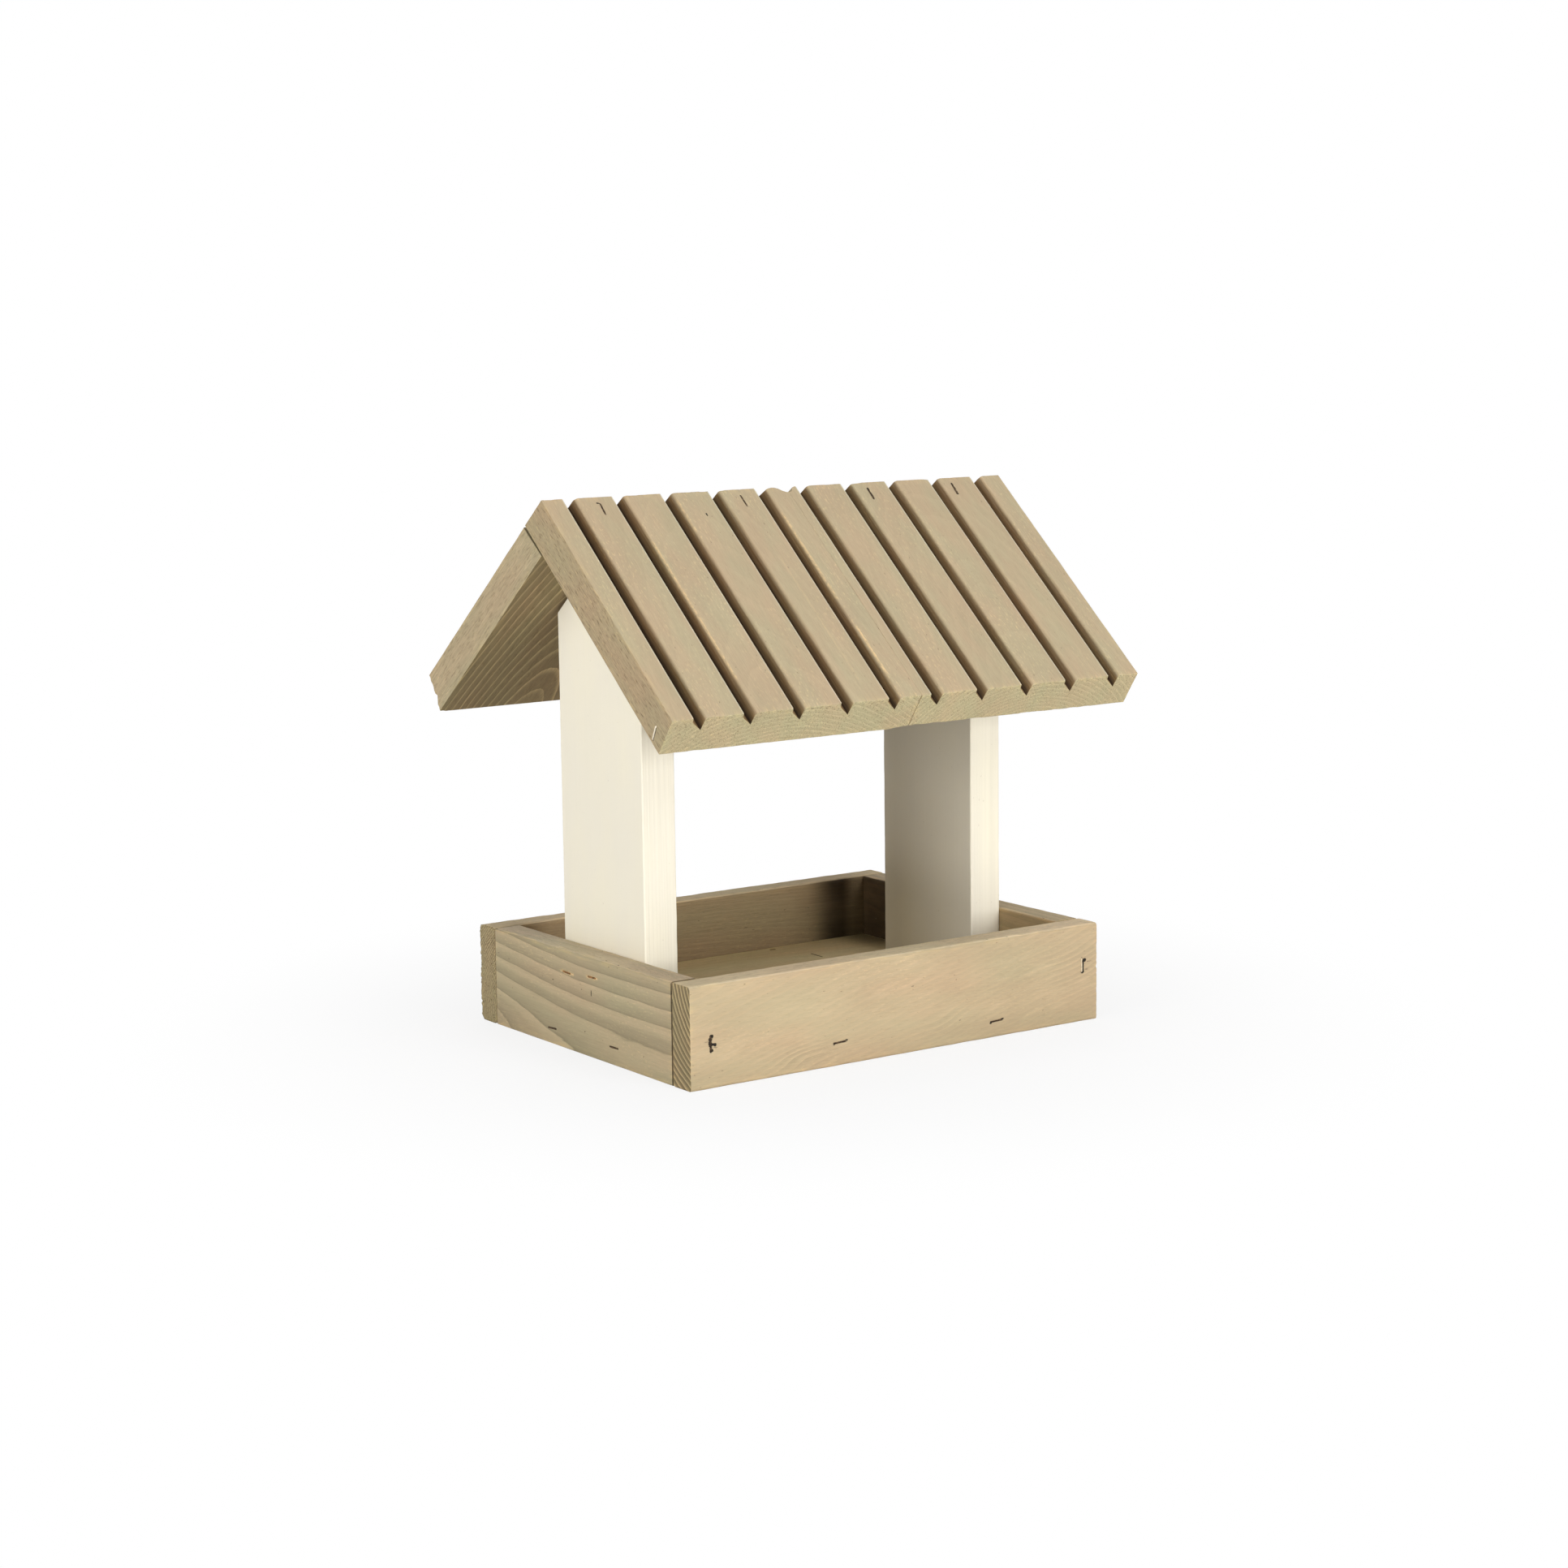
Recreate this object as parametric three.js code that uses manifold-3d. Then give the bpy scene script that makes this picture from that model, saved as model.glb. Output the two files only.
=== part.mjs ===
// A roofed bird table: a boarded tray, two upright boards and a gabled roof of grooved boards,
// all held by wire staples. Millimetres and degrees, Z up. X runs along the ridge, Y from front to back.
// The origin is on the ground, under the middle of the roof's and the tray's common box.
import * as THREE from "three";
import { mergeVertices } from "three/addons/utils/BufferGeometryUtils.js";
import Module from "manifold-3d";

const wasm = await Module();
wasm.setup();

// Tray
const trayLength = 250;
const trayWidth = 197;
const wallHeight = 50.5;
const longWallThickness = 15.5;
const endWallThickness = 14.7;
const wallArris = 1.5;
const floorThickness = 18;
const floorArris = 1;
const drainGap = 2;
const jointGap = 0.3;

// Posts
const postWidth = 75;
const postThickness = 19;
const postArris = 0.8;
const postSeatGap = 0.3;
const postRearGap = 1.8;

// Roof
const roofLength = 281;
const roofThickness = 20.4;
const ridgeHeight = 274.3;
const frontPitch = 40.5;
const rearPitch = 39.2;
const frontSlopeLength = 147;
const rearSlopeLength = 150;
const frontEaveRake = 1.9;
const rearEaveRake = 3.8;
const ridgeGap = 0.3;
const ridgeGapAtTop = 1.2;
const roofJointOffset = 3;
const roofJointGap = 0.3;
const roofArris = 1.2;

// Grooves of the roof boards: a sloping left wall under a short lip, a steep right wall with a round shoulder
const groovePitch = 28;
const grooveDepth = 7.5;
const grooveLeftReach = 6.6;
const lipDepth = 2.2;
const lipLean = 0.3;
const rightWallLean = 0.4;
const shoulderRadius = 1.8;
const leftBoardMargin = 18.4;
const rightBoardMargin = 12.3;
const leastEndRib = 5;

// Staples
const stapleCrown = 8.5;
const stapleWire = 1;
const stapleSink = 0.2;
const stapleClearance = 0.3;
const wallStapleLeg = 28;
const roofStapleLeg = 32;
const shortStapleLeg = 14;
const ridgeStapleDrop = 8.2;
const roofStapleMargin = 1.5;
const roofStapleStep = 15;

// Steps of a rounded corner, the overrun of a cut, and the numbers and axes used throughout
const arrisSteps = 3;
const overrun = 5;
const half = 1 / 2;
const both = 2;
const quarterTurn = Math.PI * half;
const pitchSum = THREE.MathUtils.degToRad(frontPitch + rearPitch);
const axisX = new THREE.Vector3(1, 0, 0);
const axisY = new THREE.Vector3(0, 1, 0);
const axisZ = new THREE.Vector3(0, 0, 1);

// Staple places, as shares of the sizes that they follow. A ridge staple has its rib as a share of its
// board's ribs, counted from the left, and its place on the rib as a share of the rib's width.
const wallCornerShares = { left: { inset: 0.8, up: 0.43 }, right: { inset: 0.67, up: 0.58 } };
const wallFloorShares = { left: { along: -0.152, up: 0.64 }, right: { along: 0.237, up: 0.46 } };
const endFloorShares = { back: { along: -0.141, up: 0.44 }, front: { along: 0.154, up: 0.49 } };
const endPostShares = { back: { along: -0.173, up: 0.77 }, front: { along: 0.143, up: 0.8 } };
const ridgeStapleShares = {
  left: [{ board: 0.25, rib: 0.54 }, { board: 0.75, rib: 0.47 }],
  right: [{ board: 0.4, rib: 0.32 }, { board: 0.75, rib: 0.24 }],
};
const gableStapleShares = { down: 0.948, deep: 0.78 };

const material = (color, roughness, metalness) =>
  new THREE.MeshStandardMaterial({ color, roughness, metalness });
const stainedPine = () => material(0xb8a988, 0.8, 0);
const paintedPine = () => material(0xe6e0cf, 0.7, 0);
const darkSteel = () => material(0x3a3026, 0.6, 0.7);
const brightSteel = () => material(0xd8d2c4, 0.4, 0.9);

// A closed mesh as a solid that can be cut, and back
function solidOf(geometry) {
  const bare = geometry.clone();
  bare.deleteAttribute("normal");
  bare.deleteAttribute("uv");
  const merged = mergeVertices(bare);
  const vertProperties = merged.attributes.position.array;
  const triVerts = new Uint32Array(merged.index.array);
  return new wasm.Manifold(new wasm.Mesh({ numProp: 3, vertProperties, triVerts }));
}

function geometryOf(solid) {
  const mesh = solid.getMesh();
  const geometry = new THREE.BufferGeometry();
  geometry.setAttribute("position", new THREE.BufferAttribute(mesh.vertProperties, 3));
  geometry.setIndex(new THREE.BufferAttribute(mesh.triVerts, 1));
  geometry.computeVertexNormals();
  return geometry;
}

// An outline drawn in the plane of two axes and swept along the third, which they make right-handed
function swept(shape, length, across, up, start) {
  const geometry = new THREE.ExtrudeGeometry(shape, {
    depth: length,
    bevelEnabled: false,
    curveSegments: arrisSteps,
  });
  const along = new THREE.Vector3().crossVectors(across, up);
  geometry.applyMatrix4(new THREE.Matrix4().makeBasis(across, up, along));
  geometry.translate(start.x, start.y, start.z);
  return solidOf(geometry);
}

function polygon(points) {
  return new THREE.Shape(points.map(([u, v]) => new THREE.Vector2(u, v)));
}

// A rectangle with eased corners, its lower left corner at the given point
function easedRectangle(left, bottom, width, height, radius) {
  const right = left + width;
  const top = bottom + height;
  const shape = new THREE.Shape();
  shape.moveTo(left + radius, bottom);
  shape.lineTo(right - radius, bottom);
  shape.absarc(right - radius, bottom + radius, radius, -quarterTurn, 0, false);
  shape.lineTo(right, top - radius);
  shape.absarc(right - radius, top - radius, radius, 0, quarterTurn, false);
  shape.lineTo(left + radius, top);
  shape.absarc(left + radius, top - radius, radius, quarterTurn, Math.PI, false);
  shape.lineTo(left, bottom + radius);
  shape.absarc(left + radius, bottom + radius, radius, Math.PI, Math.PI + quarterTurn, false);
  return shape;
}

// A board in its own frame: X along the grain, from its middle, Y up its face, Z out of its face
function planedBoard(length, height, thickness, arris) {
  const section = easedRectangle(0, 0, height, thickness, arris);
  return swept(section, length, axisY, axisZ, new THREE.Vector3(-length * half, 0, 0));
}

// A group whose X, Y and Z axes point the given ways from the given point
function seat(parent, x, y, point) {
  const group = new THREE.Group();
  const z = new THREE.Vector3().crossVectors(x, y);
  group.applyMatrix4(new THREE.Matrix4().makeBasis(x, y, z).setPosition(point));
  parent.add(group);
  return group;
}

const birdTable = new THREE.Group();
const boards = new Map();

function addBoard(name, parent, solid, look) {
  boards.set(name, { name, parent, solid, look });
}

// Tray
const wallSpan = trayWidth - both * (longWallThickness + jointGap);
const floorLength = trayLength - both * (endWallThickness + jointGap);
const floorBoardWidth = (wallSpan - drainGap) * half;

function addLongWall(name, side) {
  const face = (trayWidth * half - longWallThickness) * side;
  const frame = seat(birdTable, axisX.clone().multiplyScalar(-side), axisZ, new THREE.Vector3(0, face, 0));
  addBoard(name, frame, planedBoard(trayLength, wallHeight, longWallThickness, wallArris), stainedPine());
  return frame;
}

function addEndWall(name, side) {
  const face = (trayLength * half - endWallThickness) * side;
  const frame = seat(birdTable, axisY.clone().multiplyScalar(side), axisZ, new THREE.Vector3(face, 0, 0));
  addBoard(name, frame, planedBoard(wallSpan, wallHeight, endWallThickness, wallArris), stainedPine());
  return frame;
}

function addFloorBoard(name, side) {
  const middle = (drainGap + floorBoardWidth) * half * side;
  const frame = seat(birdTable, axisX, axisY, new THREE.Vector3(0, middle - floorBoardWidth * half, 0));
  addBoard(name, frame, planedBoard(floorLength, floorBoardWidth, floorThickness, floorArris), stainedPine());
}

const longWalls = {
  front: addLongWall("tray_front_wall", -1),
  back: addLongWall("tray_back_wall", 1),
};
const endWalls = {
  left: addEndWall("tray_left_wall", -1),
  right: addEndWall("tray_right_wall", 1),
};
addFloorBoard("floor_board_front", -1);
addFloorBoard("floor_board_back", 1);

// Posts: upright boards against the end walls, their tops cut to the underside of both slopes
const slopes = {
  front: { tilt: THREE.MathUtils.degToRad(frontPitch), length: frontSlopeLength, rake: frontEaveRake },
  rear: { tilt: THREE.MathUtils.degToRad(rearPitch), length: rearSlopeLength, rake: rearEaveRake },
};
const postOuter = trayLength * half - endWallThickness;
const postInner = postOuter - postThickness;
const postMiddle = postOuter - postThickness * half;

// The height, at the middle of the roof, of a plane the given way under a slope's upper face
const heightUnder = (slope, depth) => ridgeHeight - depth / Math.cos(slope.tilt);

function gablePoints() {
  const frontTop = heightUnder(slopes.front, roofThickness + postSeatGap);
  const rearTop = heightUnder(slopes.rear, roofThickness + postRearGap);
  const frontRise = Math.tan(slopes.front.tilt);
  const rearRise = Math.tan(slopes.rear.tilt);
  const peak = (rearTop - frontTop) / (frontRise + rearRise);
  const reach = postWidth * half + overrun;
  return [
    [-reach, floorThickness - overrun],
    [reach, floorThickness - overrun],
    [reach, rearTop - rearRise * reach],
    [peak, frontTop + frontRise * peak],
    [-reach, frontTop - frontRise * reach],
  ];
}

function addPost(name, side) {
  const section = easedRectangle(
    -postThickness * half, -postWidth * half, postThickness, postWidth, postArris);
  const upright = swept(section, ridgeHeight, axisX, axisY, new THREE.Vector3(0, 0, floorThickness));
  const gable = swept(polygon(gablePoints()), postThickness + overrun, axisY, axisZ,
    new THREE.Vector3(-(postThickness + overrun) * half, 0, 0));
  const frame = seat(birdTable, axisX, axisY, new THREE.Vector3(postMiddle * side, 0, 0));
  addBoard(name, frame, upright.intersect(gable), paintedPine());
}

addPost("left_post", -1);
addPost("right_post", 1);

// Roof: each slope has its own frame, X across the boards, Y up the slope, Z out of its upper face
const roofBoards = {
  left: { from: -roofLength * half, to: roofJointOffset - roofJointGap * half, margin: leftBoardMargin },
  right: { from: roofJointOffset + roofJointGap * half, to: roofLength * half, margin: rightBoardMargin },
};

// The lines of a board's groove bottoms, from left to right
function grooveBottoms({ from, to, margin }) {
  const bottoms = [];
  for (let bottom = from + margin; bottom < to - leastEndRib; bottom += groovePitch) {
    bottoms.push(bottom);
  }
  return bottoms;
}

// The ribs between and beside the grooves, from left to right, as the two edges of each one's flat top
function ribsOf(board) {
  const bottoms = grooveBottoms(board);
  const starts = bottoms.map((bottom) => bottom + rightWallLean + shoulderRadius);
  const ends = bottoms.map((bottom) => bottom - grooveLeftReach);
  starts.unshift(board.from + roofArris);
  ends.push(board.to - roofArris);
  return starts.map((start, index) => ({ start, end: ends[index] }));
}

// One groove's points from right to left, about the line of its bottom
function groovePoints(bottom) {
  const points = [];
  const centre = bottom + rightWallLean + shoulderRadius;
  for (let step = 0; step <= arrisSteps; step += 1) {
    const turn = quarterTurn * (1 + step / arrisSteps);
    points.push([centre + shoulderRadius * Math.cos(turn), shoulderRadius * (Math.sin(turn) - 1)]);
  }
  points.push([bottom, -grooveDepth]);
  points.push([bottom - grooveLeftReach + lipLean, -lipDepth]);
  points.push([bottom - grooveLeftReach, 0]);
  return points;
}

// A board's section, counter-clockwise: its flat back, then its grooved face from right to left
function groovedSection(board) {
  const { from, to } = board;
  const points = [[from, -roofThickness], [to, -roofThickness], [to, -roofArris], [to - roofArris, 0]];
  for (const bottom of grooveBottoms(board).reverse()) {
    points.push(...groovePoints(bottom));
  }
  points.push([from + roofArris, 0], [from, -roofArris]);
  return polygon(points);
}

// A slope's side view, in its own Y and Z: the top end follows the other slope, the eave is nearly square
function slopeSide(slope, topAtFace, topAtBack) {
  return polygon([
    [topAtFace, 0],
    [-slope.length, 0],
    [-slope.length - slope.rake, -roofThickness],
    [topAtBack, -roofThickness],
  ]);
}

function roofBoard(board, slope, side) {
  const section = groovedSection(board);
  const start = roofThickness + overrun;
  const reach = start + slope.length + slope.rake + overrun;
  const blank = swept(section, reach, axisX, axisZ, new THREE.Vector3(0, start, 0));
  const width = board.to - board.from + both * overrun;
  const cut = swept(side, width, axisY, axisZ, new THREE.Vector3(board.from - overrun, 0, 0));
  return blank.intersect(cut);
}

const backRun = roofThickness / Math.tan(pitchSum);
const faceRun = roofThickness / Math.sin(pitchSum);
slopes.front.side = slopeSide(slopes.front, 0, backRun);
slopes.rear.side = slopeSide(slopes.rear, -faceRun - ridgeGapAtTop, backRun - faceRun - ridgeGap);

function slopeFrame(slope, side) {
  const up = new THREE.Vector3(0, -side * Math.cos(slope.tilt), Math.sin(slope.tilt));
  const across = axisX.clone().multiplyScalar(-side);
  return seat(birdTable, across, up, new THREE.Vector3(0, 0, ridgeHeight));
}

slopes.front.frame = slopeFrame(slopes.front, -1);
slopes.rear.frame = slopeFrame(slopes.rear, 1);
// Seen from in front, the rear slope's first board lies on the right
const roofNames = {
  front: { left: "roof_front_left_board", right: "roof_front_right_board" },
  rear: { left: "roof_rear_right_board", right: "roof_rear_left_board" },
};
for (const [slopeName, names] of Object.entries(roofNames)) {
  const slope = slopes[slopeName];
  for (const [hand, name] of Object.entries(names)) {
    addBoard(name, slope.frame, roofBoard(roofBoards[hand], slope, slope.side), stainedPine());
  }
}

// Staples. In its own frame a staple's crown lies along X, just under the face, and its legs go down -Z.
const staples = [];

function stapleOutline(leg, grow, rise) {
  const outer = stapleCrown * half + grow;
  const inner = stapleCrown * half - stapleWire - grow;
  const crown = -stapleWire - grow;
  const point = stapleWire;
  return polygon([
    [-outer, rise],
    [-outer, -leg - grow],
    [-inner, -leg - grow + point],
    [-inner, crown],
    [inner, crown],
    [inner, -leg - grow + point],
    [outer, -leg - grow],
    [outer, rise],
  ]);
}

// The staple itself, or, grown by the clearance and open at the face, the channel that it sits in
function stapleSolid(leg, grow, rise) {
  const width = stapleWire + both * grow;
  const start = new THREE.Vector3(0, width * half, -stapleSink);
  return swept(stapleOutline(leg, grow, rise), width, axisX, axisZ, start);
}

function addStaple(name, parent, point, turn, leg, held, look = darkSteel()) {
  const frame = new THREE.Group();
  frame.position.copy(point);
  frame.rotation.z = turn;
  parent.add(frame);
  staples.push({ name, frame, leg, held, look });
}

const onLongWall = (along, up) => new THREE.Vector3(along, up, longWallThickness);
const onEndWall = (along, up) => new THREE.Vector3(along, up, endWallThickness);

// Seen from outside, a long wall's left end meets the left end wall in front and the right one at the back
for (const [place, frame] of Object.entries(longWalls)) {
  const wall = `tray_${place}_wall`;
  const ends = place === "front" ? { left: "left", right: "right" } : { left: "right", right: "left" };
  for (const [hand, share] of Object.entries(wallCornerShares)) {
    const reach = trayLength * half - endWallThickness * share.inset;
    const point = onLongWall(hand === "left" ? -reach : reach, wallHeight * share.up);
    const held = [wall, `tray_${ends[hand]}_wall`];
    addStaple(`corner_staple_${place}_${ends[hand]}`, frame, point, quarterTurn, wallStapleLeg, held);
  }
  for (const [hand, share] of Object.entries(wallFloorShares)) {
    const point = onLongWall(trayLength * share.along, floorThickness * share.up);
    const held = [wall, `floor_board_${place}`];
    addStaple(`floor_staple_${place}_${ends[hand]}`, frame, point, 0, wallStapleLeg, held);
  }
}

// An end wall's own X runs to the front on the left wall and to the back on the right wall
for (const [side, frame] of Object.entries(endWalls)) {
  const wall = `tray_${side}_wall`;
  const mirror = side === "left" ? 1 : -1;
  for (const [place, share] of Object.entries(endFloorShares)) {
    const point = onEndWall(trayWidth * share.along * mirror, floorThickness * share.up);
    addStaple(`end_floor_staple_${side}_${place}`, frame, point, 0, wallStapleLeg,
      [wall, `floor_board_${place}`]);
  }
  for (const [place, share] of Object.entries(endPostShares)) {
    const point = onEndWall(postWidth * share.along * mirror, wallHeight * share.up);
    addStaple(`post_staple_${side}_${place}`, frame, point, 0, wallStapleLeg, [wall, `${side}_post`]);
  }
}

// Ridge staples go through the front slope into the end of the rear slope, also where its joint is
const roofBoardNames = Object.values(roofNames).flatMap((names) => Object.values(names));
for (const [hand, shares] of Object.entries(ridgeStapleShares)) {
  const ribs = ribsOf(roofBoards[hand]);
  for (const [index, share] of shares.entries()) {
    const { start, end } = ribs[Math.floor(ribs.length * share.board)];
    const point = new THREE.Vector3(start + (end - start) * share.rib, -ridgeStapleDrop, 0);
    addStaple(`ridge_staple_${hand}_${index + 1}`, slopes.front.frame, point, quarterTurn, roofStapleLeg,
      roofBoardNames);
  }
}

// The widest stretch of rib between two places across a slope
function widestOver(ribs, low, high) {
  const stretches = ribs.map(({ start, end }) => [Math.max(start, low), Math.min(end, high)]);
  const width = ([start, end]) => end - start;
  return stretches.reduce((best, stretch) => (width(stretch) > width(best) ? stretch : best));
}

// Two staples hold the rear slope on each post, on a rib and below the reach of the ridge staples
const ridgeStapleReach = roofStapleLeg * Math.sin(pitchSum);
const upperRoofStaple = ridgeStapleReach + roofStapleMargin + stapleCrown * half;
const roofStapleDrops = { upper: upperRoofStaple, lower: upperRoofStaple + roofStapleStep };
const postSpans = { left: [-postOuter, -postInner], right: [postInner, postOuter] };
for (const [hand, name] of Object.entries(roofNames.rear)) {
  const side = hand === "left" ? "right" : "left";
  const [start, end] = widestOver(ribsOf(roofBoards[hand]), ...postSpans[hand]);
  for (const [order, drop] of Object.entries(roofStapleDrops)) {
    const point = new THREE.Vector3((start + end) * half, -drop, 0);
    addStaple(`roof_staple_${side}_${order}`, slopes.rear.frame, point, quarterTurn, roofStapleLeg,
      [name, `${side}_post`]);
  }
}

// One short staple sits in the left gable edge, its crown across the board's thickness
function addGableStaple() {
  const { frame } = slopes.front;
  const edge = new THREE.Vector3(
    -roofLength * half,
    -frontSlopeLength * gableStapleShares.down,
    -roofThickness * gableStapleShares.deep);
  const face = seat(frame, axisZ, axisY, edge);
  addStaple("gable_staple", face, new THREE.Vector3(), 0, shortStapleLeg,
    ["roof_front_left_board"], brightSteel());
}
addGableStaple();

// The common box of the tray and the roof is centred on the origin from front to back
const eaveReach = (slope) => slope.length * Math.cos(slope.tilt);
birdTable.position.y = (eaveReach(slopes.front) - eaveReach(slopes.rear)) * half;
birdTable.updateMatrixWorld(true);

function addMesh(name, parent, solid, look) {
  const mesh = new THREE.Mesh(geometryOf(solid), look);
  mesh.name = name;
  parent.add(mesh);
}

for (const { name, frame, leg, held, look } of staples) {
  const channel = stapleSolid(leg, stapleClearance, overrun);
  for (const board of held.map((heldName) => boards.get(heldName))) {
    const toBoard = board.parent.matrixWorld.clone().invert().multiply(frame.matrixWorld);
    board.solid = board.solid.subtract(channel.transform(toBoard.elements));
  }
  addMesh(name, frame, stapleSolid(leg, 0, 0), look);
}
for (const { name, parent, solid, look } of boards.values()) {
  addMesh(name, parent, solid, look);
}

const part = new THREE.Group();
part.add(birdTable);

export default part;
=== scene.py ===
"""A roofed bird table: stained pine boards, two cream posts and wire staples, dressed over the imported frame.

Board sizes are in millimetres and turned into metres where a mesh is made. A board is described in axes of
its own: along its grain, across its face and out of its face.
"""
import math
from dataclasses import dataclass, field

import bpy
import numpy as np
from mathutils import Matrix, Vector


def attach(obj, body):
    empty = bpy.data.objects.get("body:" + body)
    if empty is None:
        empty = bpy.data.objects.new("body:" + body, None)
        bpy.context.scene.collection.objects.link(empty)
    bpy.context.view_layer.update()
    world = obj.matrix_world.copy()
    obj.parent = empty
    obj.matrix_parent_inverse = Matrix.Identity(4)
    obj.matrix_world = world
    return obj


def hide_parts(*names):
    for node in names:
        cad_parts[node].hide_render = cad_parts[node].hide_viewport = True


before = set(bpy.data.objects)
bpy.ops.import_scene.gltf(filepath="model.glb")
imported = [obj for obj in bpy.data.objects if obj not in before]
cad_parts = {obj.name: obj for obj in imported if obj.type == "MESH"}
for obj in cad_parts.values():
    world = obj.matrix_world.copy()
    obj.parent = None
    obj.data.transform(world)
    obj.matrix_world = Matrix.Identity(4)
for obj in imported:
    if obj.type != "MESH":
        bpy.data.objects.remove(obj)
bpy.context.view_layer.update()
scene = bpy.context.scene
scene.view_settings.view_transform = "Standard"

MM = 0.001
HALF = 1 / 2
FULL_TURN = 2 * math.pi

# The photograph's camera
PHOTO_WIDTH_PX = 1932
FOCAL_PX = 3942.034
SENSOR_MM = 36
HEADING = math.radians(35.031)
TILT = math.radians(8.776)
ROLL = math.radians(-0.711)
CAMERA_PLACE = Vector((-0.92783, -1.32516, 0.37220))

# The roof
FRONT_PITCH = math.radians(40.5)
REAR_PITCH = math.radians(39.2)
GROOVE_PITCH = 28
GROOVE_DEPTH = 7.5
GROOVE_LEFT_REACH = 6.6
LIP_DEPTH = 2.2
LIP_LEAN = 0.3
RIGHT_WALL_LEAN = 0.4
SHOULDER_RADIUS = 1.8
SHOULDER_STEPS = 5
LEFT_BOARD_MARGIN = 18.4
RIGHT_BOARD_MARGIN = 12.3
LEAST_END_RIB = 5

# The mesh
ALONG_PITCH = 2.2
ACROSS_PITCH = 1.7
THROUGH_PITCH = 1.9
CLOSEST_LINES = 0.09
EASE_SHARES = (0, 0.27, 0.42, 0.58, 0.73, 1)
FINE_PITCH = 0.35
FINE_REACH = 1.6
WEAR_REACH = 4
DIRT_REACH = 0.8
SHARP_ARRIS = 0.1
LIP_LINE = 0.8
AXIS_NAMES = ("along", "across", "out")
UNEVEN_PITCH = (60, 9, 9)
ROUGH_PITCH = (3, 2.2, 2.2)
ARRIS_PITCH = (14, 5, 5)
ARRIS_WOBBLE = 0.12
SEED_STRIDE = 37
FAR = 1e5


def unit(vector):
    vector = np.array(vector, float)
    return vector / np.linalg.norm(vector)


def node_points(name):
    """The corners of a CAD node, in metres."""
    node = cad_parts[name]
    flat = np.empty(len(node.data.vertices) * len(AXIS_NAMES))
    node.data.vertices.foreach_get("co", flat)
    turn = np.array(node.matrix_world)
    return flat.reshape(-1, len(AXIS_NAMES)) @ turn[:-1, :-1].T + turn[:-1, -1]


class Axes:
    """Right-handed axes of a board, through the frame's origin."""

    def __init__(self, along, out):
        self.rows = np.array([unit(along), np.cross(unit(out), unit(along)), unit(out)])

    def measure(self, node):
        """A node's corners in these axes, in millimetres."""
        return node_points(node) @ self.rows.T / MM

    def place(self, points):
        """Points in these axes, in the frame's metres."""
        return points @ self.rows * MM


FRONT_WALL = Axes(along=(1, 0, 0), out=(0, -1, 0))
BACK_WALL = Axes(along=(-1, 0, 0), out=(0, 1, 0))
LEFT_WALL = Axes(along=(0, -1, 0), out=(-1, 0, 0))
RIGHT_WALL = Axes(along=(0, 1, 0), out=(1, 0, 0))
FLOOR = Axes(along=(1, 0, 0), out=(0, 0, 1))
LEFT_POST = Axes(along=(0, 0, 1), out=(-1, 0, 0))
RIGHT_POST = Axes(along=(0, 0, 1), out=(1, 0, 0))
FRONT_SLOPE = Axes(
    along=(0, -math.cos(FRONT_PITCH), -math.sin(FRONT_PITCH)),
    out=(0, -math.sin(FRONT_PITCH), math.cos(FRONT_PITCH)),
)
REAR_SLOPE = Axes(
    along=(0, math.cos(REAR_PITCH), -math.sin(REAR_PITCH)),
    out=(0, math.sin(REAR_PITCH), math.cos(REAR_PITCH)),
)
LEFT_GABLE = Axes(along=FRONT_SLOPE.rows[0], out=(-1, 0, 0))


def waves(points, pitch, seed, count=9, spread=(0.5, 1.7)):
    """Smooth noise of about -1 to 1: crossing waves, each about the pitch long (one pitch per axis)."""
    random = np.random.default_rng(seed)
    directions = random.normal(size=(count, len(AXIS_NAMES)))
    directions /= np.linalg.norm(directions, axis=1, keepdims=True)
    lengths = random.uniform(*spread, (count, 1))
    phases = random.uniform(0, FULL_TURN, count)
    turns = (points / np.array(pitch)) @ (directions / lengths).T
    return np.sin(turns * FULL_TURN + phases).sum(axis=1) / math.sqrt(count)


def smooth(value, low, high):
    """0 below low, 1 above high, with a soft rise between."""
    share = np.clip((value - low) / (high - low), 0, 1)
    return share * share * (3 - 2 * share)


def hump(value, middle, width):
    """A bell of height 1."""
    return np.exp(-(((value - middle) / width) ** 2))


# Board meshes

@dataclass
class Relief:
    """Takes wood off one side: depth(a, b, c) in millimetres, fading over its reach into the board."""
    side: str
    depth: object
    reach: float = 0.5


@dataclass
class Mark:
    """A staple's crown in a board's face or low side, or wood torn or crushed there."""
    side: str
    middle: tuple
    direction: int
    half_length: float
    turn: float = 0
    dent: float = 0.55
    dent_width: float = 0.75
    crushed: float = 0.6
    crushed_width: float = 0.7
    torn: float = 0
    torn_width: float = 1.6


@dataclass
class Figure:
    """Where the pith of the log lies, from the board's first face corner, and how far its rings are apart.

    The pith leans along the board, and straightens over some lean_until millimetres.
    """
    across: float
    through: float
    ring: float
    lean_across: float = 0
    lean_through: float = 0
    lean_until: float = FAR


@dataclass
class Swirl:
    """Rings pushed aside around a hidden knot, where they also show more: places from the board's corner."""
    along: float
    across: float
    reach_along: float
    reach_across: float
    push: float
    strength: float = 1


@dataclass
class HighlightStreak:
    """A painted highlight: a bright golden streak along a rib or an arris of a groove, in the board's axes."""
    across: float
    start: float
    finish: float
    strength: float = 0.5
    width: float = 0.45


@dataclass
class SideLook:
    """A side's colour, with painted light and shade in it, how strongly the rings show in it, and how roughly
    it is sawn.
    """
    red: float
    green: float
    blue: float
    contrast: float = 0.1
    sawn: float = 0.2


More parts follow.
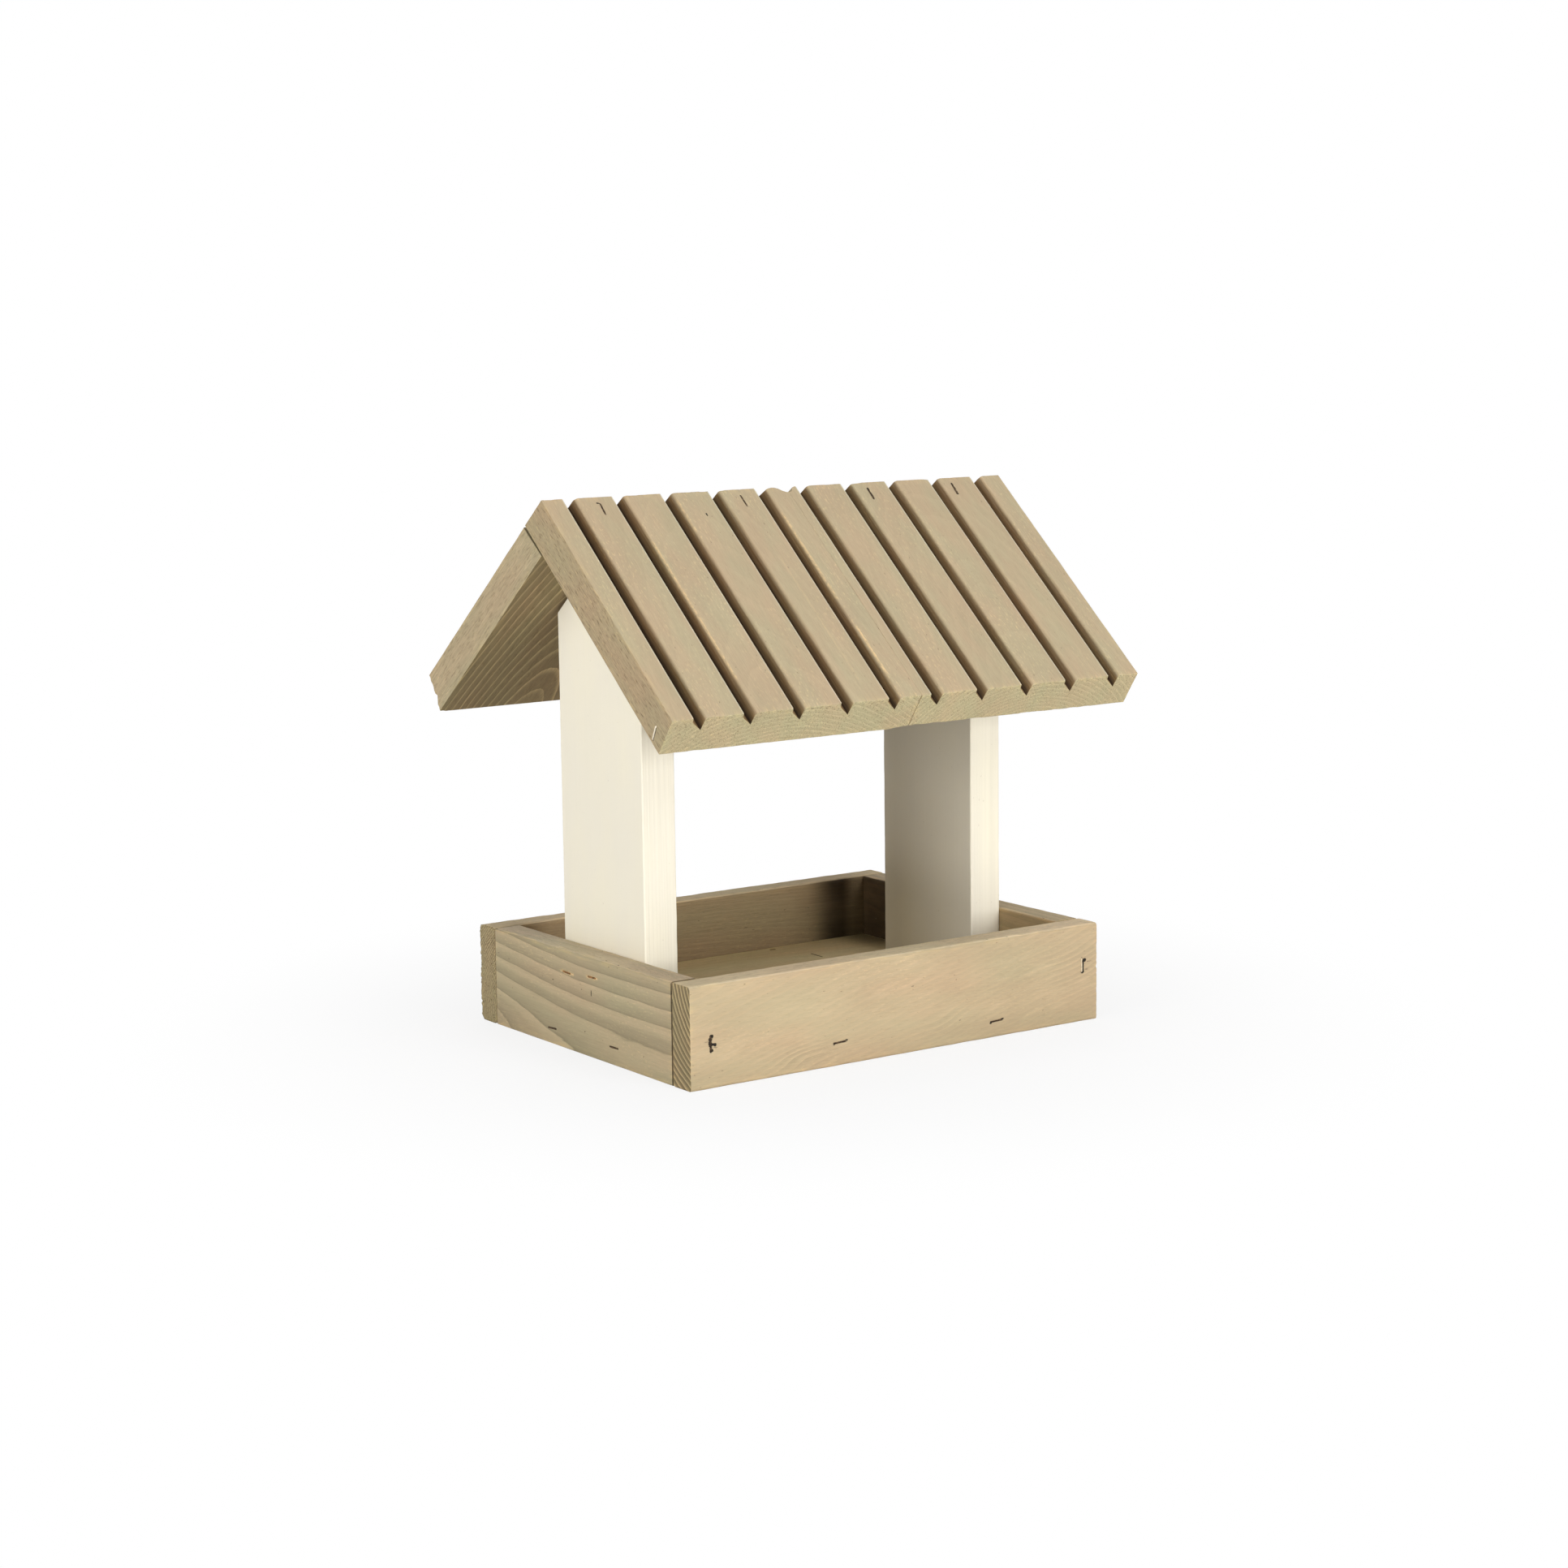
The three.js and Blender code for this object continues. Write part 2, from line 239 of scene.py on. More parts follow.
@dataclass
class Board:
    node: str
    axes: Axes
    look: str
    figure: Figure
    sides: dict
    seed: int
    slot: str = "stained_pine"
    long_arris: float = 1.5
    end_arris: float = 0.4
    arrises: dict = field(default_factory=dict)
    reliefs: list = field(default_factory=list)
    marks: list = field(default_factory=list)
    swirls: list = field(default_factory=list)
    torn_lines: list = field(default_factory=list)
    dirty_arrises: list = field(default_factory=list)
    shade: object = None
    section: object = None
    gable: bool = False
    unevenness: float = 0.05
    end_roughness: float = 0.12


SIDES = ("start", "finish", "low", "high", "back", "face")
OPPOSITE = dict(zip(SIDES, ("finish", "start", "high", "low", "face", "back")))
END_SIDES = SIDES[:2]
MARK_AXES = {"face": (0, 1), "low": (0, 2)}


def lines(low, high, pitch, ease=0, fine=()):
    """Lattice lines: even steps, with closer ones over eased ends and at fine places."""
    count = max(1, round((high - low) / pitch))
    places = [*np.linspace(low, high, count + 1)]
    for share in EASE_SHARES:
        places += [low + ease * share, high - ease * share]
    for middle, reach in fine:
        near = np.arange(math.ceil((middle - reach) / FINE_PITCH), (middle + reach) / FINE_PITCH)
        places += [place for place in near * FINE_PITCH if low < place < high]
    kept = [low]
    for place in sorted(places):
        if place - kept[-1] > CLOSEST_LINES and high - place > CLOSEST_LINES:
            kept.append(place)
    return np.array([*kept, high])


def lattice_skin(shape):
    """The skin points of a lattice as index triples, its quads, and the side that each quad lies on."""
    on_skin = np.zeros(shape, bool)
    for axis in range(len(shape)):
        sheets = np.moveaxis(on_skin, axis, 0)
        sheets[[0, -1]] = True
    places = np.argwhere(on_skin)
    index = np.zeros(shape, int)
    index[tuple(places.T)] = np.arange(len(places))
    quads = []
    sides = []
    for axis in range(len(shape)):
        order = np.roll(range(len(shape)), -axis)
        sheets = index.transpose(order)
        for end, sheet in enumerate((sheets[0], sheets[-1])):
            corners = (sheet[:-1, :-1], sheet[1:, :-1], sheet[1:, 1:], sheet[:-1, 1:])
            faces = np.stack([corner.ravel() for corner in corners], axis=1)
            quads.append(faces if end else faces[:, ::-1])
            sides.append(np.full(len(faces), axis * len(END_SIDES) + end))
    return places, np.concatenate(quads), np.concatenate(sides)


def ease(distances, first, second, radius):
    """Rounds the arris between two sides."""
    into_first = np.maximum(radius - distances[first], 0)
    into_second = np.maximum(radius - distances[second], 0)
    length = np.hypot(into_first, into_second)
    beyond = (into_first > 0) & (into_second > 0) & (length > radius)
    pull = np.where(beyond, 1 - radius / np.maximum(length, CLOSEST_LINES), 0)
    distances[first] = distances[first] + into_first * pull
    distances[second] = distances[second] + into_second * pull


def arris_pairs(board):
    """Each pair of sides that meet, with the arris radius there."""
    pairs = {}
    for first in SIDES:
        for second in SIDES[SIDES.index(first) + 1:]:
            if second != OPPOSITE[first]:
                usual = board.end_arris if first in END_SIDES else board.long_arris
                pairs[first, second] = board.arrises.get((first, second), usual)
    return pairs


def crown_direction(mark):
    """The direction of a staple's crown, in the axes of the side that it sits in."""
    angle = mark.direction * math.pi * HALF + math.radians(mark.turn)
    return np.array([math.cos(angle), math.sin(angle)])


def crown_offset(mark, first, second):
    """How far points of a side lie from a staple's crown: sideways, and beyond its ends."""
    cosine, sine = crown_direction(mark)
    first, second = first - mark.middle[0], second - mark.middle[1]
    beyond = np.maximum(np.abs(first * cosine + second * sine) - mark.half_length, 0)
    return np.hypot(second * cosine - first * sine, beyond)


def board_mesh(board):
    """A board's closed mesh, with the attributes that its material reads."""
    corners = board.axes.measure(board.node)
    low, high = corners[:, 1].min(), corners[:, 1].max()
    back, face = corners[:, 2].min(), corners[:, 2].max()
    thickness = face - back

    def ends_at(level):
        near = corners[np.abs(corners[:, 2] - level) < CLOSEST_LINES]
        return near[:, 0].min(), near[:, 0].max()

    back_ends, face_ends = ends_at(back), ends_at(face)
    length = face_ends[1] - face_ends[0]
    section = board.section(low, high) if board.section else [(low, 0), (high, 0)]
    section_b, section_rise = np.array(section).T
    peak_b = corners[corners[:, 0].argmax(), 1]

    fine = [[] for axis in AXIS_NAMES]
    for mark in board.marks:
        reach = np.abs(crown_direction(mark)) * mark.half_length + FINE_REACH
        for axis, middle, span in zip(MARK_AXES[mark.side], mark.middle, reach):
            fine[axis].append((middle - (face_ends[0], 0, back)[axis], span))
    radius = max(board.long_arris, board.end_arris, *board.arrises.values())
    along = lines(0, length, ALONG_PITCH, radius, fine[0]) / length
    across = np.unique(np.concatenate(
        [lines(first, last, ACROSS_PITCH) for first, last in zip(section_b[:-1], section_b[1:])]
        + [lines(low, high, high - low, radius, fine[1])]
        + ([[peak_b]] if board.gable else [])))
    closer = np.diff(across, prepend=low - 1) < CLOSEST_LINES
    across = across[~closer | np.isin(across, section_b)]
    through = lines(0, thickness, THROUGH_PITCH, radius, fine[-1]) / thickness

    places, quads, quad_sides = lattice_skin((len(along), len(across), len(through)))
    row, column, layer = places.T
    b = across[column]
    top = face + np.interp(b, section_b, section_rise)
    c = back + (top - back) * through[layer]
    level = (c - back) / thickness
    start = back_ends[0] + (face_ends[0] - back_ends[0]) * level
    finish = back_ends[1] + (face_ends[1] - back_ends[1]) * level
    if board.gable:
        rise = np.where((b - peak_b) * board.axes.rows[1, 1] < 0, math.tan(FRONT_PITCH), math.tan(REAR_PITCH))
        finish = corners[:, 0].max() - rise * np.abs(b - peak_b)
    a = start + (finish - start) * along[row]

    distances = {"start": a - start, "finish": finish - a, "low": b - low, "high": high - b,
                 "back": c - back, "face": top - c}
    on_side = {"start": row == 0, "finish": row == len(along) - 1, "low": column == 0,
               "high": column == len(across) - 1, "back": layer == 0, "face": layer == len(through) - 1}
    grain = np.stack([a - face_ends[0], b - low, c - face], axis=1)

    arrises = arris_pairs(board)
    wear = np.zeros(len(a))
    for (first, second), radius in arrises.items():
        near = np.hypot(distances[first], distances[second])
        wear = np.maximum(wear, (1 - smooth(near, 0, WEAR_REACH)) * (radius > SHARP_ARRIS))
    # Painted shade from the board's shade function, with dirt along the arrises listed for it
    painted_shade_and_dirt = board.shade(a, b, on_side) if board.shade else np.zeros(len(a))
    for first, second in board.dirty_arrises:
        near = np.hypot(distances[first], distances[second])
        painted_shade_and_dirt = np.maximum(painted_shade_and_dirt, 1 - smooth(near, 0, DIRT_REACH))
    crushed = np.zeros(len(a))
    torn = np.zeros(len(a))
    dents = {side: np.zeros(len(a)) for side in MARK_AXES}
    for mark in board.marks:
        offset = crown_offset(mark, *[(a, b, c)[axis] for axis in MARK_AXES[mark.side]])
        crushed = np.maximum(crushed, mark.crushed * hump(offset, 0, mark.crushed_width) * on_side[mark.side])
        torn = np.maximum(torn, mark.torn * hump(offset, 0, mark.torn_width) * on_side[mark.side])
        dent = mark.dent * hump(offset, 0, mark.dent_width) * on_side[mark.side]
        dents[mark.side] = np.maximum(dents[mark.side], dent)
    # Painted highlight streaks, kept with the wood torn beside staples
    for line in board.torn_lines:
        begun = smooth(a, line.start, line.start + WEAR_REACH)
        shown = begun * (1 - smooth(a, line.finish - WEAR_REACH, line.finish))
        torn = np.maximum(torn, line.strength * shown * hump(b, line.across, line.width) * on_side["face"])
    # A painted highlight along the arris where each groove drops from its rib, standing also for stain worn
    # off there
    drops = (section_rise[:-1] == 0) & (section_rise[1:] == -LIP_DEPTH)
    painted_lip_highlight = np.isin(b, section_b[:-1][drops]) * on_side["face"]
    push = np.zeros(len(a))
    swirled = np.zeros(len(a))
    for swirl in board.swirls:
        near = hump(grain[:, 0], swirl.along, swirl.reach_along)
        near = near * hump(grain[:, 1], swirl.across, swirl.reach_across)
        push += swirl.push * near
        swirled = np.maximum(swirled, swirl.strength * near)

    for relief in board.reliefs:
        fade = np.clip(1 - distances[relief.side] / relief.reach, 0, 1)
        distances[relief.side] = distances[relief.side] + relief.depth(a, b, c) * fade
    for number, side in enumerate(SIDES):
        rough = board.end_roughness if side in END_SIDES else board.unevenness
        pitch = ROUGH_PITCH if side in END_SIDES else UNEVEN_PITCH
        swell = (1 + waves(grain, pitch, board.seed + number)) * HALF
        distances[side] = distances[side] + np.where(on_side[side], rough * np.clip(swell, 0, 1), 0)
    for side, dent in dents.items():
        distances[side] = distances[side] + dent
    for number, ((first, second), radius) in enumerate(arrises.items()):
        wobble = 1 + ARRIS_WOBBLE * waves(grain, ARRIS_PITCH, board.seed + number)
        ease(distances, first, second, radius * np.maximum(wobble, ARRIS_WOBBLE))

    near_start = along[row] < HALF
    near_low = b - low < high - b
    near_back = through[layer] < HALF
    a = np.where(near_start, start + distances["start"], finish - distances["finish"])
    b = np.where(near_low, low + distances["low"], high - distances["high"])
    c = np.where(near_back, back + distances["back"], top - distances["face"])

    figure = board.figure
    gone = np.tanh(grain[:, 0] / figure.lean_until) * figure.lean_until
    rings = np.stack([
        (grain[:, 1] - figure.across - figure.lean_across * gone + push) / figure.ring,
        (grain[:, 2] - figure.through - figure.lean_through * gone) / figure.ring,
        np.full(len(a), board.seed)], axis=1)
    groove = np.clip((face - top) / GROOVE_DEPTH, 0, 1) * on_side["face"]
    grain[:, 0] += board.seed * SEED_STRIDE

    mesh = bpy.data.meshes.new(board.node)
    mesh.from_pydata(board.axes.place(np.stack([a, b, c], axis=1)).tolist(), [], quads.tolist())
    add_attribute(mesh, "grain", grain, "FLOAT_VECTOR")
    add_attribute(mesh, "rings", rings, "FLOAT_VECTOR")
    values = {"wear": wear, "crushed": crushed, "torn": torn, "groove": groove, "painted_shade_and_dirt": painted_shade_and_dirt, "painted_lip_highlight": painted_lip_highlight,
              "swirled": swirled}
    for name, value in values.items():
        add_attribute(mesh, name, value)
    add_side_looks(mesh, board.sides, quad_sides)
    mesh.shade_smooth()
    return mesh


FIELDS = {"FLOAT": "value", "FLOAT_VECTOR": "vector", "FLOAT_COLOR": "color"}


def add_attribute(mesh, name, values, kind="FLOAT", domain="POINT"):
    mesh.attributes.new(name, kind, domain).data.foreach_set(FIELDS[kind], values.ravel())


def add_side_looks(mesh, looks, quad_sides):
    """Gives each side its tint, with its ring contrast in the fourth channel, and its roughness."""
    looks = [looks.get(side, looks["face"]) for side in SIDES]
    tints = np.array([[look.red, look.green, look.blue, look.contrast] for look in looks])
    sawn = np.array([look.sawn for look in looks])
    corners_each = len(mesh.loops) // len(mesh.polygons)
    corner_sides = np.repeat(quad_sides, corners_each)
    add_attribute(mesh, "tint", tints[corner_sides], "FLOAT_COLOR", "CORNER")
    add_attribute(mesh, "sawn", sawn[corner_sides], domain="CORNER")


def link(name, mesh):
    thing = bpy.data.objects.new(name, mesh)
    scene.collection.objects.link(thing)
    return thing


def add_board(board):
    piece = link(f"{board.node}_wood", board_mesh(board))
    piece.data.materials.append(MATERIALS[board.look])
    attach(piece, "root")
    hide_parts(board.node)


# Materials

def add_node(tree, kind, **settings):
    node = tree.nodes.new(f"ShaderNode{kind}")
    for name, value in settings.items():
        setattr(node, name, value)
    return node


class Shader:
    """A material's nodes, added step by step."""

    def __init__(self, name):
        self.material = bpy.data.materials.new(name)
        self.material.use_nodes = True
        self.tree = self.material.node_tree
        self.tree.nodes.clear()
        self.surface = add_node(self.tree, "BsdfPrincipled")
        output = add_node(self.tree, "OutputMaterial")
        self.tree.links.new(self.surface.outputs[0], output.inputs["Surface"])

    def put(self, socket, value):
        if isinstance(value, bpy.types.NodeSocket):
            self.tree.links.new(value, socket)
        else:
            socket.default_value = value

    def math(self, operation, *values, kind="Math"):
        node = add_node(self.tree, kind, operation=operation)
        for socket, value in zip(node.inputs, values):
            self.put(socket, value)
        return node.outputs["Value" if operation == "LENGTH" else 0]

    def vector(self, operation, *values):
        return self.math(operation, *values, kind="VectorMath")

    def times(self, first, second):
        return self.math("MULTIPLY", first, second)

    def grey(self, value):
        """A value in all three channels."""
        return self.vector("MULTIPLY", (1, 1, 1), value)

    def attribute(self, name, output="Fac"):
        return add_node(self.tree, "Attribute", attribute_name=name).outputs[output]

    def noise(self, place, scales, detail, output=0):
        """Noise over a place that is first stretched by one scale for each axis."""
        node = add_node(self.tree, "TexNoise")
        self.put(node.inputs["Vector"], self.vector("MULTIPLY", place, scales))
        node.inputs["Scale"].default_value = 1
        node.inputs["Detail"].default_value = detail
        return node.outputs[output]

    def curve(self, name, value, top=1):
        """A value put through a named curve, whose last height is multiplied by the top."""
        *stops, (place, height) = CURVES[name]
        return self.ramp(value, *stops, (place, height * top))

    def ramp(self, value, *stops):
        """A curve through stops, each a place and a height."""
        node = add_node(self.tree, "ValToRGB")
        self.put(node.inputs[0], value)
        stripe = node.color_ramp
        while len(stripe.elements) < len(stops):
            stripe.elements.new(1)
        for element, (place, height) in zip(stripe.elements, stops):
            element.position = place
            element.color = (height, height, height, 1)
        return node.outputs[0]

    def mix(self, share, first, second, kind="MIX"):
        node = add_node(self.tree, "Mix", data_type="RGBA", blend_type=kind)
        self.put(node.inputs[0], share)
        colours = [socket for socket in node.inputs if socket.type == "RGBA"]
        self.put(colours[0], first)
        self.put(colours[1], second)
        return next(socket for socket in node.outputs if socket.type == "RGBA")

    def stain(self, share, colour, by):
        """A colour that is multiplied by another one, over a share of it."""
        return self.mix(share, colour, self.mix(1, colour, by, "MULTIPLY"))

    def swing(self, value, amount):
        """A value of 0 to 1 as a gain of about 1, up and down by half the amount."""
        return self.math("MULTIPLY_ADD", value, amount, 1 - amount * HALF)

    def turned(self, place, angle):
        """A place turned about the board's third axis."""
        node = add_node(self.tree, "VectorRotate", rotation_type="Z_AXIS")
        self.put(node.inputs["Vector"], place)
        node.inputs["Angle"].default_value = angle
        return node.outputs[0]

    def bump(self, height, depth):
        node = add_node(self.tree, "Bump")
        node.inputs["Strength"].default_value = 1
        node.inputs["Distance"].default_value = depth * MM
        self.put(node.inputs["Height"], height)
        self.put(self.surface.inputs["Normal"], node.outputs[0])

    def finish(self, colour, roughness, specular, metallic=0):
        self.put(self.surface.inputs["Base Color"], colour)
        self.put(self.surface.inputs["Roughness"], roughness)
        self.surface.inputs["Specular IOR Level"].default_value = specular
        self.surface.inputs["Metallic"].default_value = metallic
        return self.material


def rgb(red, green, blue):
    return (red, green, blue, 1)


WARM_STAIN = rgb(1.035, 0.98, 0.97)
COOL_STAIN = rgb(0.975, 1.003, 0.985)
FLECK = rgb(1.24, 1.23, 1.14)
SPECK = rgb(0.13, 0.1, 0.06)
CRUSHED = rgb(0.016, 0.012, 0.008)
# Colour of wood torn beside staples, and of the painted highlight streaks
TORN_WOOD_AND_HIGHLIGHT = rgb(0.86, 0.61, 0.3)
# Stain, dirt and painted shade in the roof's grooves, darkest at their bottoms
GROOVE_STAIN_AND_SHADE = rgb(0.66, 0.53, 0.38)
GROOVE_DIRT_AND_SHADE = rgb(0.13, 0.1, 0.075)
# Colour of painted shade, and of dirt along joint arrises
PAINTED_SHADE_AND_DIRT = rgb(0.14, 0.12, 0.09)
WORN = rgb(1.2, 1.16, 1.04)
# Colour of the painted highlight along the grooves' arrises
PAINTED_LIP_HIGHLIGHT = rgb(1.58, 1.8, 2.1)
DASH = rgb(0.6, 0.57, 0.53)
CREAM = rgb(0.925, 0.865, 0.7)
COOL_CREAM = rgb(0.905, 0.85, 0.71)
PAINT_SPECK = rgb(0.5, 0.42, 0.3)
RUN_OUT_ANGLE = math.radians(-16)
RING_BALANCE = 0.4
LATE_RISE = 1.5
LATE_PALE = 0.12
LATE_DARK = 0.85
LATE_END = 0.97
EDGE_END = 0.09
SAWN_FIBRES = 0.7
GROOVE_FRAY = 0.5
LATE_RELIEF = 0.3
THREAD_RELIEF = 0.6
WOOD_SHINE = 0.25
PAINT_LINES = 0.03
SAWN_PAINT_LINES = 0.14
HUE_DETAIL = 3
PAINT_RIDGES = 0.25
PAINT_RELIEF = 0.25
PAINT_ROUGHNESS = 0.62
PAINT_SHINE = 0.3
WIRE_PATCHES = 900
WIRE_SCRATCHES = 2500
PATCH_EDGE = 0.08
PATCH_RANGE = (0.3, 0.7)
SCRATCH_RELIEF = 0.04
STAIN_ROUGHNESS = 0.25
WIRE_SHINE = 0.3

# Noises by name: scales along, across and through the grain, for each millimetre, and the detail
NOISES = {
    "wander": ((0.009, 0.035, 0.035), 2), "ripple": ((0.05, 0.45, 0.45), 3),
    "per_ring": ((1.7, 0, 0), 1), "streaks": ((0.012, 0.42, 0.42), 3),
    "threads": ((0.035, 0.95, 0.95), 3), "fibres": ((0.11, 2.4, 2.4), 3),
    "cloud": ((0.02, 0.05, 0.05), 3), "combed": ((0.05, 0.3, 0.3), 3),
    "combed_where": ((0.014, 0.04, 0.04), 2), "flecked": ((0.014, 0.035, 0.035), 3),
    "flecks": ((0.35, 1.1, 1.1), 2), "worn": ((0.07, 0.5, 0.5), 3),
    "dashes": ((0.22, 1.3, 1.3), 2), "specks": ((0.3, 0.8, 0.8), 1),
    "breakup": ((0.5, 1.4, 1.4), 3), "planed": ((0.006, 0.9, 0.9), 4),
    "paint_clouds": ((0.015, 0.035, 0.035), 2), "paint_specks": ((0.5, 0.7, 0.7), 1),
}

# Curves by name: stops, each a place and a height
CURVES = {
    "per_ring": ((0.3, 0.45), (0.62, 1)), "combed": ((0.48, 0), (0.7, 1)),
    "combed_where": ((0.42, 0.15), (0.6, 1)), "hue": ((0.36, 0), (0.64, 1)),
    "flecked": ((0.42, 0.1), (0.62, 1)), "flecks": ((0.58, 0), (0.67, 1)),
    "inside": ((0, 0), (0.06, 1)), "stained": ((0.02, 0), (0.45, 1)),
    "groove_dirt_and_shade": ((0.12, 0), (0.42, 0.22), (0.68, 0.64), (0.95, 1)),
    "worn": ((0.45, 0), (0.62, 1)), "dashes": ((0.56, 0), (0.68, 1)),
    "lit": ((0.3, 0.8), (0.55, 1)), "painted_shade_and_dirt": ((0.3, 0.8), (0.6, 1)),
    "specks": ((0.75, 0), (0.8, 1)), "torn": ((0.38, 0.1), (0.55, 1)),
    "crushed": ((0.3, 0.6), (0.6, 1.3)), "black": ((0.25, 0), (0.5, 1)),
    "roughness": ((0.2, 0.72), (0.8, 0.88)), "paint_clouds": ((0.35, 0), (0.65, 1)),
    "paint_specks": ((0.76, 0), (0.82, 0.35)),
}


@dataclass
class Grain:
    """How strongly a board's wood shows."""
    late_share: float = 0.35
    late_hue: tuple = rgb(1, 1, 1)
    edge: float = 0.3
    swirl_gain: float = 3
    warp: float = 1.2
    ripple: float = 0.12
    streaks: float = 0.14
    threads: float = 0.3
    flecks: float = 0.8
    blotches: float = 0.12
    run_out: float = 0
    specks: float = 0.6
    wear: float = 0.6
    relief: float = 0.18
    hue_scale: tuple = (0.012, 0.045, 0.045)


def stained_pine(name, grain):
    """Pine under a thin grey-beige stain, from the board's own grain and ring attributes, with the painted
    light and shade that the board's attributes carry.
    """
    s = Shader(name)
    place = s.attribute("grain", "Vector")
    tint = s.attribute("tint", "Color")
    sawn = s.attribute("sawn")
    groove = s.attribute("groove")

    def noise(name, over=place, output=0):
        return s.noise(over, *NOISES[name], output)

    def patches(name, top=1):
        return s.curve(name, noise(name), top)

    wander = s.vector("SUBTRACT", noise("wander", output=1), (HALF, HALF, HALF))
    wander = s.vector("MULTIPLY", wander, (grain.warp, grain.warp, 0))
    rings = s.vector("MULTIPLY", s.attribute("rings", "Vector"), (1, 1, 0))
    radius = s.vector("LENGTH", s.vector("ADD", rings, wander))
    radius = s.math("MULTIPLY_ADD", noise("ripple"), grain.ripple, radius)
    phase = s.math("FRACT", radius)
    rising = 1 - grain.late_share * LATE_RISE
    risen = 1 - grain.late_share * HALF
    late = s.ramp(phase, (0, 0), (rising, LATE_PALE), (risen, LATE_DARK), (LATE_END, 1), (1, 0))
    late = s.times(late, s.curve("per_ring", noise("per_ring", s.grey(radius))))
    edge = s.ramp(phase, (0, grain.edge), (EDGE_END, 0))
    swirled = s.math("MULTIPLY_ADD", s.attribute("swirled"), grain.swirl_gain, 1)
    shown = s.times(s.attribute("tint", "Alpha"), swirled)
    balance = s.math("SUBTRACT", s.math("SUBTRACT", late, edge), RING_BALANCE)
    gain = s.math("MULTIPLY_ADD", shown, balance, 1)

    threads = noise("threads")
    fibres = noise("fibres")
    cloud = noise("cloud")
    swings = ((noise("streaks"), grain.streaks), (threads, grain.threads), (cloud, grain.blotches))
    for pattern, amount in swings:
        gain = s.times(gain, s.swing(pattern, amount))
    coarse = s.math("MULTIPLY_ADD", sawn, SAWN_FIBRES, grain.threads)
    rough = s.times(s.math("SUBTRACT", fibres, HALF), coarse)
    gain = s.times(gain, s.math("ADD", rough, 1))
    if grain.run_out:
        combed = s.curve("combed", noise("combed", s.turned(place, RUN_OUT_ANGLE)), grain.run_out)
        gain = s.math("MULTIPLY_ADD", combed, patches("combed_where"), gain)

    hue = s.curve("hue", s.noise(place, grain.hue_scale, HUE_DETAIL))
    # Each side's tint: its stain, with painted light and shade from side to side
    colour = s.mix(1, tint, s.mix(hue, COOL_STAIN, WARM_STAIN), "MULTIPLY")
    colour = s.stain(late, colour, grain.late_hue)
    colour = s.mix(1, colour, s.grey(gain), "MULTIPLY")
    colour = s.stain(s.times(patches("flecks"), patches("flecked", grain.flecks)), colour, FLECK)

    deep = s.math("MULTIPLY_ADD", s.math("SUBTRACT", threads, HALF), GROOVE_FRAY, groove)
    inside = s.curve("inside", groove)
    dashes = s.times(sawn, patches("dashes"))
    stains_and_painted_light = (
        # Painted shade in the grooves, with stain and dirt, growing darker with depth
        (s.times(s.curve("stained", deep), inside), GROOVE_STAIN_AND_SHADE),
        (s.times(s.curve("groove_dirt_and_shade", deep), inside), GROOVE_DIRT_AND_SHADE),
        (s.times(s.attribute("wear"), patches("worn", grain.wear)), WORN),
        (dashes, DASH),
        # Painted highlight along the grooves' arrises, with worn stain
        (s.times(s.attribute("painted_lip_highlight"), s.curve("lit", threads)), PAINTED_LIP_HIGHLIGHT),
        # Painted shade, and dirt along joint arrises
        (s.times(s.attribute("painted_shade_and_dirt"), s.curve("painted_shade_and_dirt", cloud)), PAINTED_SHADE_AND_DIRT),
    )
    for share, by in stains_and_painted_light:
        colour = s.stain(share, colour, by)
    specks = patches("specks", grain.specks)
    colour = s.mix(specks, colour, SPECK)
    breakup = noise("breakup")
    # Wood torn beside staples, and painted highlight streaks along arrises
    colour = s.mix(s.times(s.attribute("torn"), s.curve("torn", breakup)), colour, TORN_WOOD_AND_HIGHLIGHT)
    crushed = s.times(s.attribute("crushed"), s.curve("crushed", breakup))
    colour = s.mix(s.curve("black", crushed), colour, CRUSHED)

    relief = s.math("MULTIPLY_ADD", threads, THREAD_RELIEF, fibres)
    relief = s.math("MULTIPLY_ADD", late, LATE_RELIEF, relief)
    relief = s.math("SUBTRACT", relief, s.math("ADD", specks, dashes))
    s.bump(relief, grain.relief)
    return s.finish(colour, s.curve("roughness", fibres), WOOD_SHINE)


def cream_paint():
    """Cream paint that lets the planed wood show as fine lines along the posts."""
    s = Shader("painted_pine_cream")
    place = s.attribute("grain", "Vector")
    sawn = s.attribute("sawn")
    planed = s.noise(place, *NOISES["planed"])
    clouds = s.noise(place, *NOISES["paint_clouds"])
    colour = s.mix(s.curve("paint_clouds", clouds), CREAM, COOL_CREAM)
    lines_shown = s.math("MULTIPLY_ADD", sawn, SAWN_PAINT_LINES, PAINT_LINES)
    lined = s.math("MULTIPLY_ADD", s.math("SUBTRACT", planed, HALF), lines_shown, 1)
    colour = s.mix(1, colour, s.grey(lined), "MULTIPLY")
    # Painted shade on the post's face, where its board has any
    colour = s.stain(s.attribute("painted_shade_and_dirt"), colour, PAINTED_SHADE_AND_DIRT)
    specks = s.curve("paint_specks", s.noise(place, *NOISES["paint_specks"]))
    colour = s.mix(specks, colour, PAINT_SPECK)
    ridges = s.times(planed, s.math("ADD", sawn, PAINT_RIDGES))
    s.bump(s.math("ADD", ridges, clouds), PAINT_RELIEF)
    return s.finish(colour, PAINT_ROUGHNESS, PAINT_SHINE)


